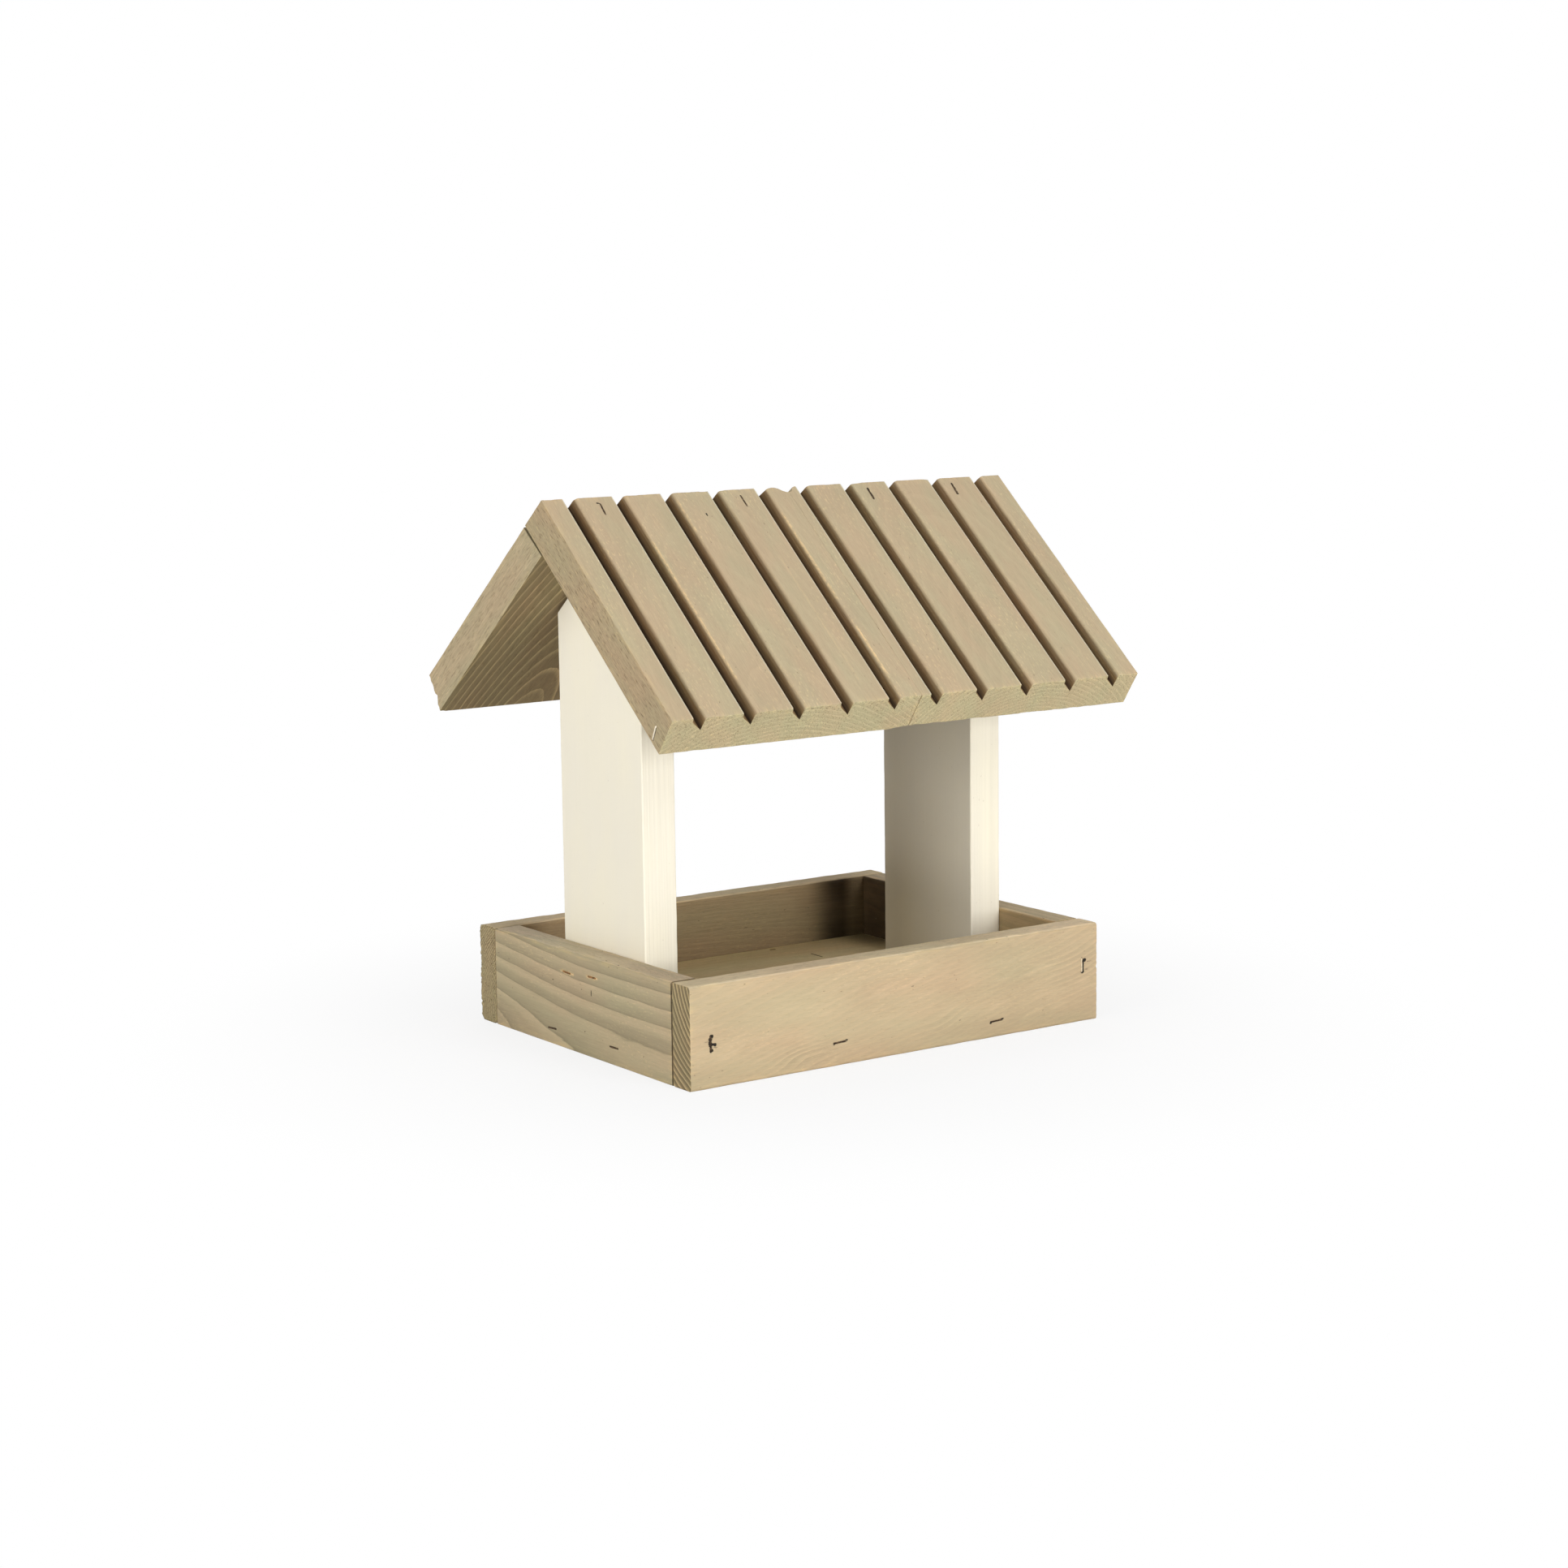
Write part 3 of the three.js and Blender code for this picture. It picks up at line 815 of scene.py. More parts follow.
def wire(name, bright, dull, share, roughness, metallic):
    """Drawn steel wire with stain or rust on it."""
    s = Shader(name)
    coordinates = add_node(s.tree, "TexCoord").outputs["Object"]
    patches = s.noise(coordinates, (WIRE_PATCHES, WIRE_PATCHES, WIRE_PATCHES), detail=3)
    scratches = s.noise(coordinates, (WIRE_SCRATCHES, WIRE_SCRATCHES, WIRE_SCRATCHES), detail=2)
    shown = s.ramp(patches, (share - PATCH_EDGE, 0), (share + PATCH_EDGE, 1))
    s.bump(scratches, SCRATCH_RELIEF)
    smoothest, roughest = PATCH_RANGE
    rough = s.ramp(patches, (smoothest, roughness), (roughest, roughness + STAIN_ROUGHNESS))
    return s.finish(s.mix(shown, rgb(*bright), rgb(*dull)), rough, WIRE_SHINE, metallic)


GRAINS = {
    "front_wall": Grain(
        late_share=0.4, late_hue=rgb(1.02, 1, 0.98), warp=1.6, streaks=0.06, threads=0.08, blotches=0.3,
        flecks=0.5, run_out=0.1, relief=0.04),
    "left_wall": Grain(
        late_share=0.6, late_hue=rgb(1.03, 0.985, 0.99), warp=0.5, streaks=0.05, threads=0.2, blotches=0.06,
        flecks=0.9, wear=1, specks=0.9, relief=0.12),
    "tray": Grain(),
    "roof": Grain(
        late_share=0.3, streaks=0.08, threads=0.12, blotches=0.16, flecks=1, relief=0.1,
        hue_scale=(0.025, 0.07, 0.05)),
    "rear_roof": Grain(late_share=0.2, edge=0, warp=0.5, specks=0.3),
}

# Wires: name, bright colour, dull colour, share of the bright, roughness, metallic
WIRES = {
    "dark_wire": ("dark_steel_stained", (0.1, 0.06, 0.03), (0.025, 0.014, 0.007), 0.5, 0.7, 0),
    "rusty_wire": ("dark_steel_rusty", (0.36, 0.17, 0.05), (0.09, 0.04, 0.015), 0.5, 0.5, 0.3),
    "pale_wire": ("dark_steel_worn", (0.7, 0.58, 0.4), (0.16, 0.11, 0.06), 0.6, 0.45, 0.3),
    "bright_wire": ("bright_steel_wire", (0.84, 0.76, 0.6), (0.45, 0.38, 0.28), 0.62, 0.3, 0.6),
}

MATERIALS = {look: stained_pine(f"stained_pine_{look}", grain) for look, grain in GRAINS.items()}
MATERIALS["cream"] = cream_paint()
MATERIALS.update({look: wire(*row) for look, row in WIRES.items()})


# Staples

STAPLE_BEND = 0.9
STAPLE_BEND_STEPS = 4
WIRE_SIDES = 12
WIRE_SQUARENESS = 0.55
CHISEL_SHARE = 0.35


def staple_path(crown, leg):
    """A staple's middle line: X along its crown, Z out of the wood, its crown's top at Z 0."""
    reach = crown * HALF
    path = [(-reach, -leg)]
    for step in range(STAPLE_BEND_STEPS + 1):
        turn = step / STAPLE_BEND_STEPS * math.pi * HALF
        path.append((-reach + STAPLE_BEND * (1 - math.cos(turn)), STAPLE_BEND * (math.sin(turn) - 1)))
    return path + [(-x, z) for x, z in reversed(path)]


def staple_mesh(name, axes, middle, direction, crown, wire_width, leg, turn):
    """A bent wire: rings of a rounded square along the path, closed to a chisel edge at both ends."""
    path = np.array(staple_path(crown - wire_width, leg - wire_width * HALF))
    ahead = np.gradient(path, axis=0)
    ahead /= np.linalg.norm(ahead, axis=1, keepdims=True)
    aside = np.stack([-ahead[:, 1], ahead[:, 0]], axis=1)
    angles = np.arange(WIRE_SIDES) / WIRE_SIDES * FULL_TURN
    round_x = np.sign(np.cos(angles)) * np.abs(np.cos(angles)) ** WIRE_SQUARENESS * wire_width * HALF
    round_y = np.sign(np.sin(angles)) * np.abs(np.sin(angles)) ** WIRE_SQUARENESS * wire_width * HALF
    points = []
    for number, (centre, normal) in enumerate(zip(path, aside)):
        thin = CHISEL_SHARE if number in (0, len(path) - 1) else 1
        for out, side in zip(round_x * thin, round_y):
            x, z = centre + normal * out
            points.append((x, side, z - wire_width * HALF))
    points = np.array(points)
    lean = math.radians(turn)
    flat = points[:, :2] @ np.array([[math.cos(lean), math.sin(lean)], [-math.sin(lean), math.cos(lean)]])
    if direction == 1:
        flat = np.stack([-flat[:, 1], flat[:, 0]], axis=1)
    local = np.column_stack([flat, points[:, 2]]) + np.array(middle)
    faces = []
    for ring in range(len(path) - 1):
        for side in range(WIRE_SIDES):
            following = (side + 1) % WIRE_SIDES
            first, second = ring * WIRE_SIDES, (ring + 1) * WIRE_SIDES
            faces.append((first + side, second + side, second + following, first + following))
    last = (len(path) - 1) * WIRE_SIDES
    faces.append(tuple(range(WIRE_SIDES)))
    faces.append(tuple(last + side for side in reversed(range(WIRE_SIDES))))
    mesh = bpy.data.meshes.new(name)
    mesh.from_pydata(axes.place(local).tolist(), [], faces)
    mesh.shade_smooth()
    return mesh


BLACKENED = {"crushed": 0.75, "crushed_width": 0.75}
LIGHTLY_PRESSED = {"crushed": 0.5, "dent": 0.45}
TORN_OUT = {"crushed": 0.3, "torn": 0.75, "torn_width": 0.9}
# Its crushed ring is crushed wood and also a painted shadow along the wire's side
STANDING_OUT = {"dent": 0.8, "dent_width": 0.8, "crushed": 0.4}


@dataclass
class Staple:
    """A staple as its CAD node has it, in the axes of the side that it sits in."""
    name: str
    axes: Axes
    look: str = "dark_wire"
    slot: str = "dark_steel"
    turn: float = 0
    mark: dict = field(default_factory=LIGHTLY_PRESSED.copy)
    side: str = "face"

    def __post_init__(self):
        corners = self.axes.measure(self.name)
        low, high = corners.min(axis=0), corners.max(axis=0)
        size = high - low
        self.direction = int(size[1] > size[0])
        self.crown = size[self.direction]
        self.wire = size[1 - self.direction]
        self.leg = size[2]
        self.middle = ((low[0] + high[0]) * HALF, (low[1] + high[1]) * HALF, high[2])

    def board_mark(self):
        half_length = (self.crown - self.wire) * HALF
        return Mark(self.side, self.middle[:2], self.direction, half_length, self.turn, **self.mark)

    def add(self):
        mesh = staple_mesh(self.name, self.axes, self.middle, self.direction, self.crown, self.wire,
                           self.leg, self.turn)
        mesh.materials.append(MATERIALS[self.look])
        piece = link(f"{self.name}_wire", mesh)
        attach(piece, "root")
        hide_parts(self.name)


def fastened(axes, **rows):
    """The staples in one side of a board, from what sets each of them apart."""
    return [Staple(name, axes, **row) for name, row in rows.items()]


STAPLES = {
    "tray_front_wall": fastened(
        FRONT_WALL,
        corner_staple_front_left={"mark": BLACKENED},
        corner_staple_front_right={"look": "pale_wire"},
        floor_staple_front_left={"turn": 2.8},
        floor_staple_front_right={"turn": 2.5}),
    "tray_back_wall": fastened(
        BACK_WALL,
        corner_staple_back_left={"mark": BLACKENED},
        corner_staple_back_right={},
        floor_staple_back_left={"turn": -3},
        floor_staple_back_right={"turn": 2}),
    "tray_left_wall": fastened(
        LEFT_WALL,
        end_floor_staple_left_front={"turn": 1},
        end_floor_staple_left_back={"turn": 3},
        post_staple_left_front={"look": "rusty_wire", "turn": 1, "mark": TORN_OUT},
        post_staple_left_back={"look": "rusty_wire", "turn": -2, "mark": TORN_OUT}),
    "tray_right_wall": fastened(
        RIGHT_WALL,
        end_floor_staple_right_front={"turn": -2},
        end_floor_staple_right_back={"turn": 2},
        post_staple_right_front={"turn": -1},
        post_staple_right_back={"turn": 3}),
    "roof_front_left_board": [
        *fastened(FRONT_SLOPE, ridge_staple_left_1={"turn": -4}, ridge_staple_left_2={}),
        *fastened(LEFT_GABLE, gable_staple={"look": "bright_wire", "slot": "bright_steel", "turn": 16,
                                            "mark": STANDING_OUT, "side": "low"})],
    "roof_front_right_board": fastened(
        FRONT_SLOPE,
        ridge_staple_right_1={"turn": -2, "mark": BLACKENED},
        ridge_staple_right_2={"turn": -5, "mark": BLACKENED}),
    "roof_rear_left_board": fastened(
        REAR_SLOPE, roof_staple_left_upper={"turn": 3}, roof_staple_left_lower={"turn": -2}),
    "roof_rear_right_board": fastened(
        REAR_SLOPE, roof_staple_right_upper={"turn": -3}, roof_staple_right_lower={"turn": 1}),
}


def add_staples():
    for staples in STAPLES.values():
        for staple in staples:
            staple.add()


# Boards

def grooved(margin):
    """The section of a roof board across its grain: height over the face at places across it."""
    def section(low, high):
        points = [(low, 0)]
        bottom = low + margin
        while bottom < high - LEAST_END_RIB:
            points.append((bottom - GROOVE_LEFT_REACH - LIP_LINE, 0))
            points.append((bottom - GROOVE_LEFT_REACH, 0))
            points.append((bottom - GROOVE_LEFT_REACH + LIP_LEAN, -LIP_DEPTH))
            points.append((bottom, -GROOVE_DEPTH))
            centre = bottom + RIGHT_WALL_LEAN + SHOULDER_RADIUS
            for step in range(SHOULDER_STEPS + 1):
                turn = (1 - step / SHOULDER_STEPS * HALF) * math.pi
                points.append((centre + SHOULDER_RADIUS * math.cos(turn),
                               SHOULDER_RADIUS * (math.sin(turn) - 1)))
            bottom += GROOVE_PITCH
        return points + [(high, 0)]
    return section


def crushed_spot(first, second, direction, half_length, width, strength=1, side="face", turn=0):
    """Wood crushed black beside a staple, at a place in the side's own axes."""
    return Mark(side, (first, second), direction, half_length, turn, dent=0.25, dent_width=width,
                crushed=strength, crushed_width=width)


def torn_spot(along, across, half_length, width, strength):
    """Bright wood torn up beside a staple."""
    return Mark("face", (along, across), 0, half_length, dent=0.1, crushed=0, torn=strength, torn_width=width)


# Crushed spots: two places in the side's axes, long axis (0 or 1), half length, width, strength, side, turn
CRUSHED_SPOTS = {
    "tray_front_wall": [
        (-113.6, 22.6, 1, 1.3, 1.05), (-112.5, 25.2, 1, 0.2, 0.7), (-112, 21.3, 0, 1, 0.6),
        (-110.9, 21.1, 0, 0.1, 0.75), (-113, 18.5, 0, 0.2, 0.85), (-110.6, 19.7, 0, 1.1, 0.35, 0.42),
        (-115.8, 23, 0, 0.7, 0.35, 0.42), (116.6, 31.9, 0, 0.4, 0.85), (115.5, 25.9, 0, 0.2, 0.8),
        (116, 29, 1, 2.8, 0.4, 0.8), (117.7, 26.9, 0, 0.9, 0.4, 0.42), (119.9, 30.9, 0, 1.4, 0.3, 0.38),
        (-41.4, 10.9, 0, 0.4, 0.4, 0.7), (-34.2, 12.1, 0, 0.4, 0.45, 0.8), (55.4, 7.6, 0, 0.4, 0.4, 0.7),
        (62.8, 8.9, 0, 0.5, 0.4, 0.8)],
    "floor_board_back": [(55.3, 48.5, 1, 5, 0.5, 0.8), (45.3, 75.7, 0, 1, 1, 0.6)],
    "tray_left_wall": [(12.7, 32.4, 1, 1.2, 0.35, 0.7)],
    "roof_front_left_board": [
        (-172.2, -110.4, 1, 0.6, 0.45, 0.9), (-160.1, -53.4, 0, 0.7, 0.4, 0.8),
        (-36.1, 194.3, 1, 3.4, 0.4, 0.7, "low", 16)],
}

# Torn spots: places along and across, half length, width, strength
TORN_SPOTS = {"tray_left_wall": [(-6, 39.1, 2, 0.7, 0.9), (17.3, 40.6, 1.2, 0.6, 0.8)]}


def marks_of(node):
    marks = [staple.board_mark() for staple in STAPLES.get(node, [])]
    marks += [crushed_spot(*row) for row in CRUSHED_SPOTS.get(node, [])]
    return marks + [torn_spot(*row) for row in TORN_SPOTS.get(node, [])]


def side_looks(**rows):
    """Looks by side, from rows of red, green, blue, ring contrast and saw roughness."""
    return {side: SideLook(*row) for side, row in rows.items()}


# Side colours: each side's stain, darker on end grain, with painted light and shade: tops lighter, inner faces
# and undersides darker, as light falls on them
FRONT_SIDES = side_looks(
    face=(0.53, 0.42, 0.265, 0.04, 0.15), high=(0.62, 0.52, 0.35, 0.05, 0.5),
    start=(0.34, 0.265, 0.145, 1.1, 0.35), finish=(0.3, 0.235, 0.13, 0.8, 0.8),
    back=(0.4, 0.31, 0.185), low=(0.45, 0.36, 0.22))
BACK_SIDES = side_looks(
    face=(0.46, 0.365, 0.22), high=(0.6, 0.49, 0.31, 0.1, 0.4), finish=(0.39, 0.315, 0.175, 0.65, 1),
    start=(0.32, 0.25, 0.14, 0.5, 0.8), back=(0.3, 0.225, 0.125, 0.12), low=(0.4, 0.32, 0.2))
LEFT_SIDES = side_looks(face=(0.41, 0.345, 0.216, 0.42, 0.1), high=(0.5, 0.43, 0.295, 0.15, 0.4))
RIGHT_SIDES = side_looks(face=(0.43, 0.35, 0.22, 0.2), back=(0.35, 0.26, 0.14, 0.15))
FLOOR_SIDES = side_looks(face=(0.56, 0.445, 0.245, 0.06), back=(0.4, 0.31, 0.18))
ROOF_SIDES = side_looks(
    face=(0.445, 0.36, 0.232, 0.035, 0.12), low=(0.42, 0.33, 0.2, 0.06, 1),
    high=(0.42, 0.33, 0.2, 0.06, 0.8), finish=(0.49, 0.418, 0.252, 0.2, 0.9),
    start=(0.4, 0.33, 0.2, 0.1, 0.8), back=(0.33, 0.25, 0.13, 0.3, 0.3))
REAR_ROOF_SIDES = side_looks(
    face=(0.43, 0.34, 0.215, 0.1, 0.12), high=(0.46, 0.375, 0.235, 0.05, 0.5),
    low=(0.42, 0.34, 0.21, 0.06, 0.6), finish=(0.46, 0.39, 0.23, 0.2, 1),
    start=(0.4, 0.33, 0.2, 0.1, 0.8), back=(0.38, 0.292, 0.155, 0.75, 0.35))
PAINTED = side_looks(face=(1, 1, 1, 0, 0), low=(1, 1, 1, 0, 1), high=(1, 1, 1, 0, 1))
NO_FIGURE = Figure(across=0, through=-50, ring=3)


INNER_CORNER = -109.5
CORNER_SHADE = 0.5
SHADE_BAND = (6, 14)
SHADE_FADE = (18, 38)
POST_SHADE = 0.98
POST_SHADE_REACH = 13
TOP_JOINT = (1.2, 2.4)
FLOOR_SHADE = 0.75
FLOOR_SHADE_RIGHT = (82, 106)
FLOOR_SHADE_BACK = (34, 60)
UNDER_ROOF = (105, 160)
UNDER_ROOF_SHADE = 0.22
NEAR_WALL = (50, 85)
NEAR_WALL_SHADE = 0.15
POST_BACK_EDGE = 24
LOW_BAND = 20
FRONT_WALL_SHADE = 0.13


def darker_low_and_right(a, b, on_side):
    """A little painted shade along the front wall's lower edge and towards its right-hand end."""
    right = smooth(a, a.min(), a.max())
    low = 1 - smooth(b, b.min(), b.min() + LOW_BAND)
    return on_side["face"] * FRONT_WALL_SHADE * (low + right)


def corner_shade(a, b, on_side):
    """Painted shadow of the right post on the back wall's inner face, darkest in a band a little way from the
    right-hand corner.
    """
    gone = a - INNER_CORNER
    band = CORNER_SHADE + (1 - CORNER_SHADE) * smooth(gone, *SHADE_BAND)
    return on_side["back"] * band * (1 - smooth(gone, *SHADE_FADE))


def top_joint_shade(a, b, on_side):
    """Painted shade of the gap on top between the left wall and the back wall."""
    return on_side["high"] * (1 - smooth(a - a.min(), *TOP_JOINT))


def shaded_behind_post(a, b, on_side):
    """Painted shade on the right wall's inner face behind the post."""
    return on_side["back"] * POST_SHADE * smooth(a, POST_BACK_EDGE, POST_BACK_EDGE + POST_SHADE_REACH)


def floor_corner_shade(a, b, on_side):
    """Painted shade on the floor towards the right-hand corner at the back."""
    return on_side["face"] * FLOOR_SHADE * smooth(a, *FLOOR_SHADE_RIGHT) * smooth(b, *FLOOR_SHADE_BACK)


def post_shade(a, b, on_side):
    """A little painted shade on the right post's inner face, under the roof and near the tray."""
    painted_shade = UNDER_ROOF_SHADE * smooth(a, *UNDER_ROOF) + NEAR_WALL_SHADE * (1 - smooth(a, *NEAR_WALL))
    return on_side["back"] * painted_shade


WORN_END_REACH = 3
RAGGED_DEPTH = 0.45
RAGGED_PITCH = 2.6
RAGGED_REACH = 4
RAGGED_SEED = 47


def worn_end(side, amount, pitch, seed):
    """An end that is worn back a little here and there."""
    def depth(a, b, c):
        return amount * np.clip(waves(np.stack([b, c, c], axis=1), pitch, seed), 0, None)
    return Relief(side, depth, WORN_END_REACH)


def ragged_corner():
    """Small teeth that the saw left on the back wall's outer face, along its left-hand end."""
    def depth(a, b, c):
        teeth = 1 + waves(np.stack([b, b, b], axis=1), RAGGED_PITCH, RAGGED_SEED)
        return RAGGED_DEPTH * np.clip(teeth, 0, None) * smooth(a, a.max() - RAGGED_REACH, a.max())
    return Relief("face", depth)


ROUND_BACK = {("high", "back"): 2.2, ("low", "back"): 2.2, ("start", "back"): 0.8, ("finish", "back"): 0.8}

# Swirls: places along and across, reaches along and across, push, strength
FRONT_SWIRLS = ((64, 8, 14, 5, -3, 2), (150, 12, 14, 8, 3, 0.6), (236, 30, 22, 16, 3, 1))
LEFT_SWIRL = (130, 3, 45, 9, 9, 0)


def tray_boards():
    return [
        Board("tray_front_wall", FRONT_WALL, "front_wall",
              Figure(across=62, through=34, ring=2.8, lean_across=0.26, lean_through=0.03), FRONT_SIDES,
              seed=1, arrises={**ROUND_BACK, ("high", "face"): 2.2},
              dirty_arrises=[("start", "back"), ("finish", "back")], shade=darker_low_and_right,
              reliefs=[worn_end("finish", amount=0.45, pitch=3, seed=31)],
              swirls=[Swirl(*row) for row in FRONT_SWIRLS]),
        Board("tray_back_wall", BACK_WALL, "tray",
              Figure(across=4, through=-60, ring=1.4, lean_through=0.05), BACK_SIDES, seed=2,
              arrises={**ROUND_BACK, ("high", "face"): 4, ("low", "face"): 4},
              dirty_arrises=[("start", "back")], shade=corner_shade, end_roughness=0.4,
              reliefs=[ragged_corner()]),
        Board("tray_left_wall", LEFT_WALL, "left_wall",
              Figure(across=-2, through=-22.5, ring=6.35, lean_through=-0.175, lean_until=60), LEFT_SIDES,
              seed=3, arrises={("low", "face"): 0.7, ("start", "high"): 1.8, ("start", "face"): 0.8},
              dirty_arrises=[("finish", "face"), ("finish", "high")], shade=top_joint_shade,
              swirls=[Swirl(*LEFT_SWIRL)]),
        Board("tray_right_wall", RIGHT_WALL, "left_wall",
              Figure(across=30, through=-34, ring=4.2, lean_through=0.05), RIGHT_SIDES, seed=4,
              dirty_arrises=[("start", "face"), ("finish", "face")], shade=shaded_behind_post),
        Board("floor_board_front", FLOOR, "tray",
              Figure(across=50, through=-70, ring=3, lean_through=0.06), FLOOR_SIDES, seed=5, long_arris=1),
        Board("floor_board_back", FLOOR, "tray",
              Figure(across=30, through=-60, ring=3, lean_through=-0.06), FLOOR_SIDES, seed=6, long_arris=1,
              shade=floor_corner_shade),
    ]


def post(node, axes, seed, shade=None):
    return Board(node, axes, "cream", NO_FIGURE, PAINTED, seed, slot="painted_pine", long_arris=0.8,
                 gable=True, end_roughness=0.03, unevenness=0.04, shade=shade)


def post_boards():
    return [post("left_post", LEFT_POST, seed=7), post("right_post", RIGHT_POST, seed=8, shade=post_shade)]


ROOF_ARRIS = 0.4
EAVE_EASE = 1.0
GABLE_EASE = 0.7
JOINT_EASE = 0.02
JOINT_FILL = 0.145
RIDGE_HOLLOW = 3.8
RIDGE_HOLLOW_RISE = (-5, 1.5)
RIDGE_HOLLOW_FALL = (4, 7.4)
RIDGE_ROUND = 1
RIDGE_ROUND_REACH = (-11, -5)
RIDGE_TEAR_DEPTH = 9
RIDGE_TEAR_REACH = 8
THINNER_EAVE = 1.2
THINNER_EAVE_RISE = (-12, 2)
THINNER_EAVE_REACH = 12
RIDGE_WEAR_PITCH = 9
EAVE_WEAR_PITCH = 7
NOTCH_PLACES = (8.2, 10.5, 13.2, 15.4)
NOTCH_WIDTH = 0.6
NOTCH_DEPTH = 2
NOTCH_FADE = 6
NOTCH_REACH = 14
FRINGE_PITCH = 2.5
FRINGE_DEPTH = 0.5
FRINGE_SEED = 43

# Painted highlight streaks in the roof: place across, start, finish, strength
ROOF_HIGHLIGHT_STREAKS = ((-93, -146, -50, 0.5), (-65, -173, -146, 0.3), (-27, -130, -40, 0.17),
                   (-9, -160, -95, 0.5), (-8.6, -80, -44, 0.7))


def joint_fill(side):
    """Closes nearly all of the gap between two roof boards."""
    return Relief(side, lambda a, b, c: np.full(len(a), -JOINT_FILL))


def ridge_tear(side):
    """A hollow torn out of the ridge where the front slope's boards meet, with a splinter left standing."""
    def depth(a, b, c):
        hollow = RIDGE_HOLLOW * smooth(b, *RIDGE_HOLLOW_RISE) * (1 - smooth(b, *RIDGE_HOLLOW_FALL))
        rounded = RIDGE_ROUND * (1 - smooth(b, *RIDGE_ROUND_REACH)) * (b > RIDGE_ROUND_REACH[0])
        return (hollow + rounded) * smooth(c, c.max() - RIDGE_TEAR_DEPTH, c.max())
    return Relief(side, depth, RIDGE_TEAR_REACH)


def thinner_eave():
    """The back of a front board rises towards the eave, from near the middle of the roof to its right."""
    def depth(a, b, c):
        down = smooth(a, a.min(), a.max())
        return THINNER_EAVE * down * smooth(b, *THINNER_EAVE_RISE)
    return Relief("back", depth, THINNER_EAVE_REACH)


def worn_roof_ends(at_ridge, at_eave, seed):
    return [worn_end("start", at_ridge, RIDGE_WEAR_PITCH, seed),
            worn_end("finish", at_eave, EAVE_WEAR_PITCH, seed + 1)]


def ragged_eave():
    """Torn notches in the back half of the rear eave, near the gable."""
    def depth(a, b, c):
        below = c.max() - c
        notches = sum(hump(below, place, NOTCH_WIDTH) for place in NOTCH_PLACES)
        fringe = 1 + waves(np.stack([b, c, c], axis=1), FRINGE_PITCH, FRINGE_SEED)
        return (notches * NOTCH_DEPTH + fringe * FRINGE_DEPTH) * smooth(b, b.max() - NOTCH_REACH, b.max())
    return Relief("finish", depth, NOTCH_FADE)


def roof_board(node, axes, look, figure, sides, seed, gable, reliefs, **more):
    """A grooved board with its gable on one side and its joint to the next board on the other."""
    joint = OPPOSITE[gable]
    arrises = {("finish", "face"): EAVE_EASE, (gable, "face"): GABLE_EASE, (joint, "face"): JOINT_EASE}
    section = grooved(LEFT_BOARD_MARGIN if gable == "low" else RIGHT_BOARD_MARGIN)
    return Board(node, axes, look, figure, sides, seed, long_arris=ROOF_ARRIS, arrises=arrises,
                 section=section, reliefs=[joint_fill(joint), *reliefs], **more)


def front_roof_board(node, figure, seed, gable, wear_seed, **more):
    reliefs = [ridge_tear("start"), *worn_roof_ends(at_ridge=0.35, at_eave=0.25, seed=wear_seed),
               thinner_eave()]
    return roof_board(node, FRONT_SLOPE, "roof", figure, ROOF_SIDES, seed, gable, reliefs, **more)


def rear_roof_board(node, figure, seed, gable, reliefs, **more):
    return roof_board(node, REAR_SLOPE, "rear_roof", figure, REAR_ROOF_SIDES, seed, gable, reliefs, **more)


def roof_boards():
    return [
        front_roof_board("roof_front_left_board",
                         Figure(across=70, through=-120, ring=2.6, lean_through=0.12), seed=9, gable="low",
                         wear_seed=21, torn_lines=[HighlightStreak(*row) for row in ROOF_HIGHLIGHT_STREAKS]),
        front_roof_board("roof_front_right_board",
                         Figure(across=78, through=-90, ring=2.6, lean_through=0.16), seed=10, gable="high",
                         wear_seed=23),
        rear_roof_board("roof_rear_right_board",
                        Figure(across=60, through=-70, ring=4, lean_through=0.1), seed=11, gable="low",
                        reliefs=worn_roof_ends(at_ridge=0.3, at_eave=0.4, seed=25)),
        rear_roof_board("roof_rear_left_board",
                        Figure(across=85, through=-60, ring=4, lean_through=0.2), seed=12, gable="high",
                        reliefs=[*worn_roof_ends(at_ridge=0.3, at_eave=0.3, seed=27), ragged_eave()],
                        dirty_arrises=[("start", "high")]),
    ]


def add_boards():
    for board in tray_boards() + post_boards() + roof_boards():
        board.marks = marks_of(board.node)
        add_board(board)


# Studio

LIT_TARGET = Vector((0, 0, 0.13))
LAMP_DISTANCE = 1.8
MATRIX_SIZE = 4

# Lamps: azimuth and elevation in degrees, size in metres, power in watts
LAMPS = {
    "front_low": (8, 6, 0.6, 17.8),
    "front_high": (10, 35, 0.9, 6.6),
    "top": (0, 85, 1.2, 10),
    "left_low": (-82, 4, 0.8, 11),
    "left_high": (-75, 30, 1.2, 10.4),
    "rear": (145, 35, 1.2, 8),
}

SKY_LIGHT = 0.1
FLOOR_HALF = 6
FLOOR_TONE = 0.8
SHADOW_EDGE = 0.1
SHADOW_END = 0.36
LEAST_GLOW = 0.82


def add_camera():
    data = bpy.data.cameras.new("photo_camera")
    data.sensor_width = SENSOR_MM
    data.lens = FOCAL_PX / PHOTO_WIDTH_PX * SENSOR_MM
    camera = bpy.data.objects.new("photo_camera", data)
    turn = (
        Matrix.Rotation(-HEADING, MATRIX_SIZE, "Z")
        @ Matrix.Rotation(math.pi * HALF - TILT, MATRIX_SIZE, "X")
        @ Matrix.Rotation(ROLL, MATRIX_SIZE, "Z")
    )
    camera.matrix_world = Matrix.Translation(CAMERA_PLACE) @ turn
    scene.collection.objects.link(camera)
    scene.camera = camera


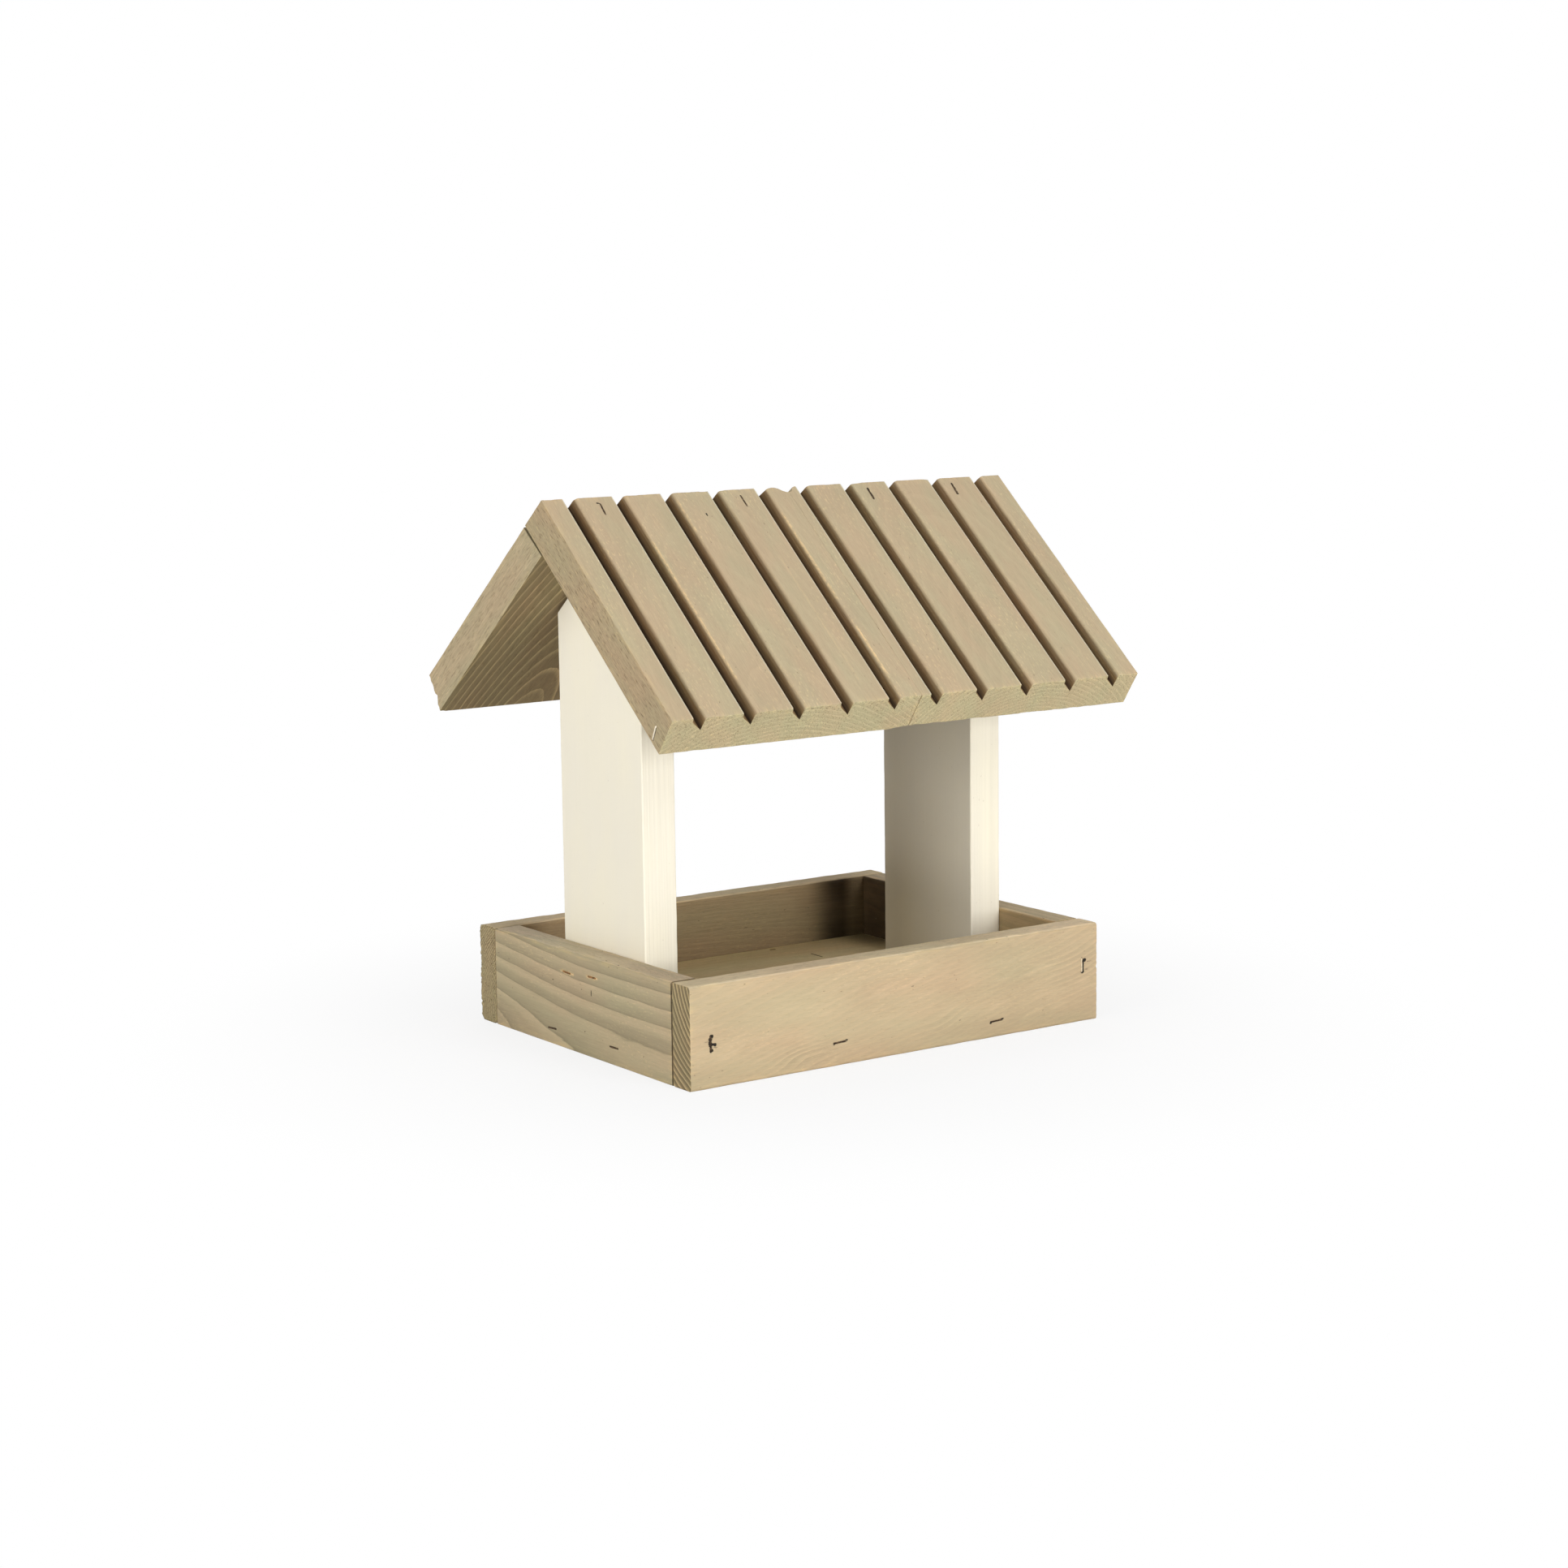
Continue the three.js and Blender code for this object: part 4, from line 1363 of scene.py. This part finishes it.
def add_lamp(name, azimuth, elevation, size, power):
    """A square lamp, its azimuth from the front and positive to the right."""
    heading, height = math.radians(azimuth), math.radians(elevation)
    back = Vector((math.sin(heading) * math.cos(height), -math.cos(heading) * math.cos(height),
                   math.sin(height)))
    data = bpy.data.lights.new(name, "AREA")
    data.shape = "SQUARE"
    data.size = size
    data.energy = power
    lamp = bpy.data.objects.new(name, data)
    lamp.location = LIT_TARGET + back * LAMP_DISTANCE
    lamp.rotation_mode = "QUATERNION"
    lamp.rotation_quaternion = back.to_track_quat("Z", "Y")
    scene.collection.objects.link(lamp)


def seen_directly(tree):
    """1 for rays from the camera, and for those seen in a gloss or through glass."""
    path = add_node(tree, "LightPath")
    total = path.outputs["Is Camera Ray"]
    for name in ("Is Glossy Ray", "Is Transmission Ray"):
        node = add_node(tree, "Math", operation="MAXIMUM")
        tree.links.new(total, node.inputs[0])
        tree.links.new(path.outputs[name], node.inputs[1])
        total = node.outputs[0]
    return total


def add_world():
    """White to the eye, with a weaker even light on the object."""
    world = bpy.data.worlds.new("studio")
    world.use_nodes = True
    tree = world.node_tree
    strength = add_node(tree, "MapRange")
    tree.links.new(seen_directly(tree), strength.inputs["Value"])
    strength.inputs["To Min"].default_value = SKY_LIGHT
    tree.links.new(strength.outputs[0], tree.nodes["Background"].inputs["Strength"])
    tree.nodes["Background"].inputs["Color"].default_value = rgb(1, 1, 1)
    scene.world = world


def add_floor():
    """A pale floor that keeps the object's shadow and turns white around it."""
    corners = [(-FLOOR_HALF, -FLOOR_HALF, 0), (FLOOR_HALF, -FLOOR_HALF, 0),
               (FLOOR_HALF, FLOOR_HALF, 0), (-FLOOR_HALF, FLOOR_HALF, 0)]
    mesh = bpy.data.meshes.new("floor")
    mesh.from_pydata(corners, [], [(0, 1, 2, 3)])
    floor = link("floor", mesh)
    s = Shader("pale_floor")
    pale = s.finish(rgb(FLOOR_TONE, FLOOR_TONE, FLOOR_TONE), roughness=1, specular=0)
    tree = pale.node_tree
    glow = add_node(tree, "Emission")
    glow.inputs["Color"].default_value = rgb(1, 1, 1)
    position = add_node(tree, "NewGeometry").outputs["Position"]
    far = add_node(tree, "MapRange", interpolation_type="SMOOTHSTEP")
    tree.links.new(s.vector("LENGTH", position), far.inputs["Value"])
    far.inputs["From Min"].default_value = SHADOW_EDGE
    far.inputs["From Max"].default_value = SHADOW_END
    far.inputs["To Min"].default_value = LEAST_GLOW
    blend = add_node(tree, "MixShader")
    tree.links.new(s.times(far.outputs[0], seen_directly(tree)), blend.inputs[0])
    tree.links.new(s.surface.outputs[0], blend.inputs[1])
    tree.links.new(glow.outputs[0], blend.inputs[2])
    tree.links.new(blend.outputs[0], tree.nodes["Material Output"].inputs["Surface"])
    mesh.materials.append(pale)


add_camera()
for lamp_name, lamp_values in LAMPS.items():
    add_lamp(lamp_name, *lamp_values)
add_world()
add_floor()
add_boards()
add_staples()
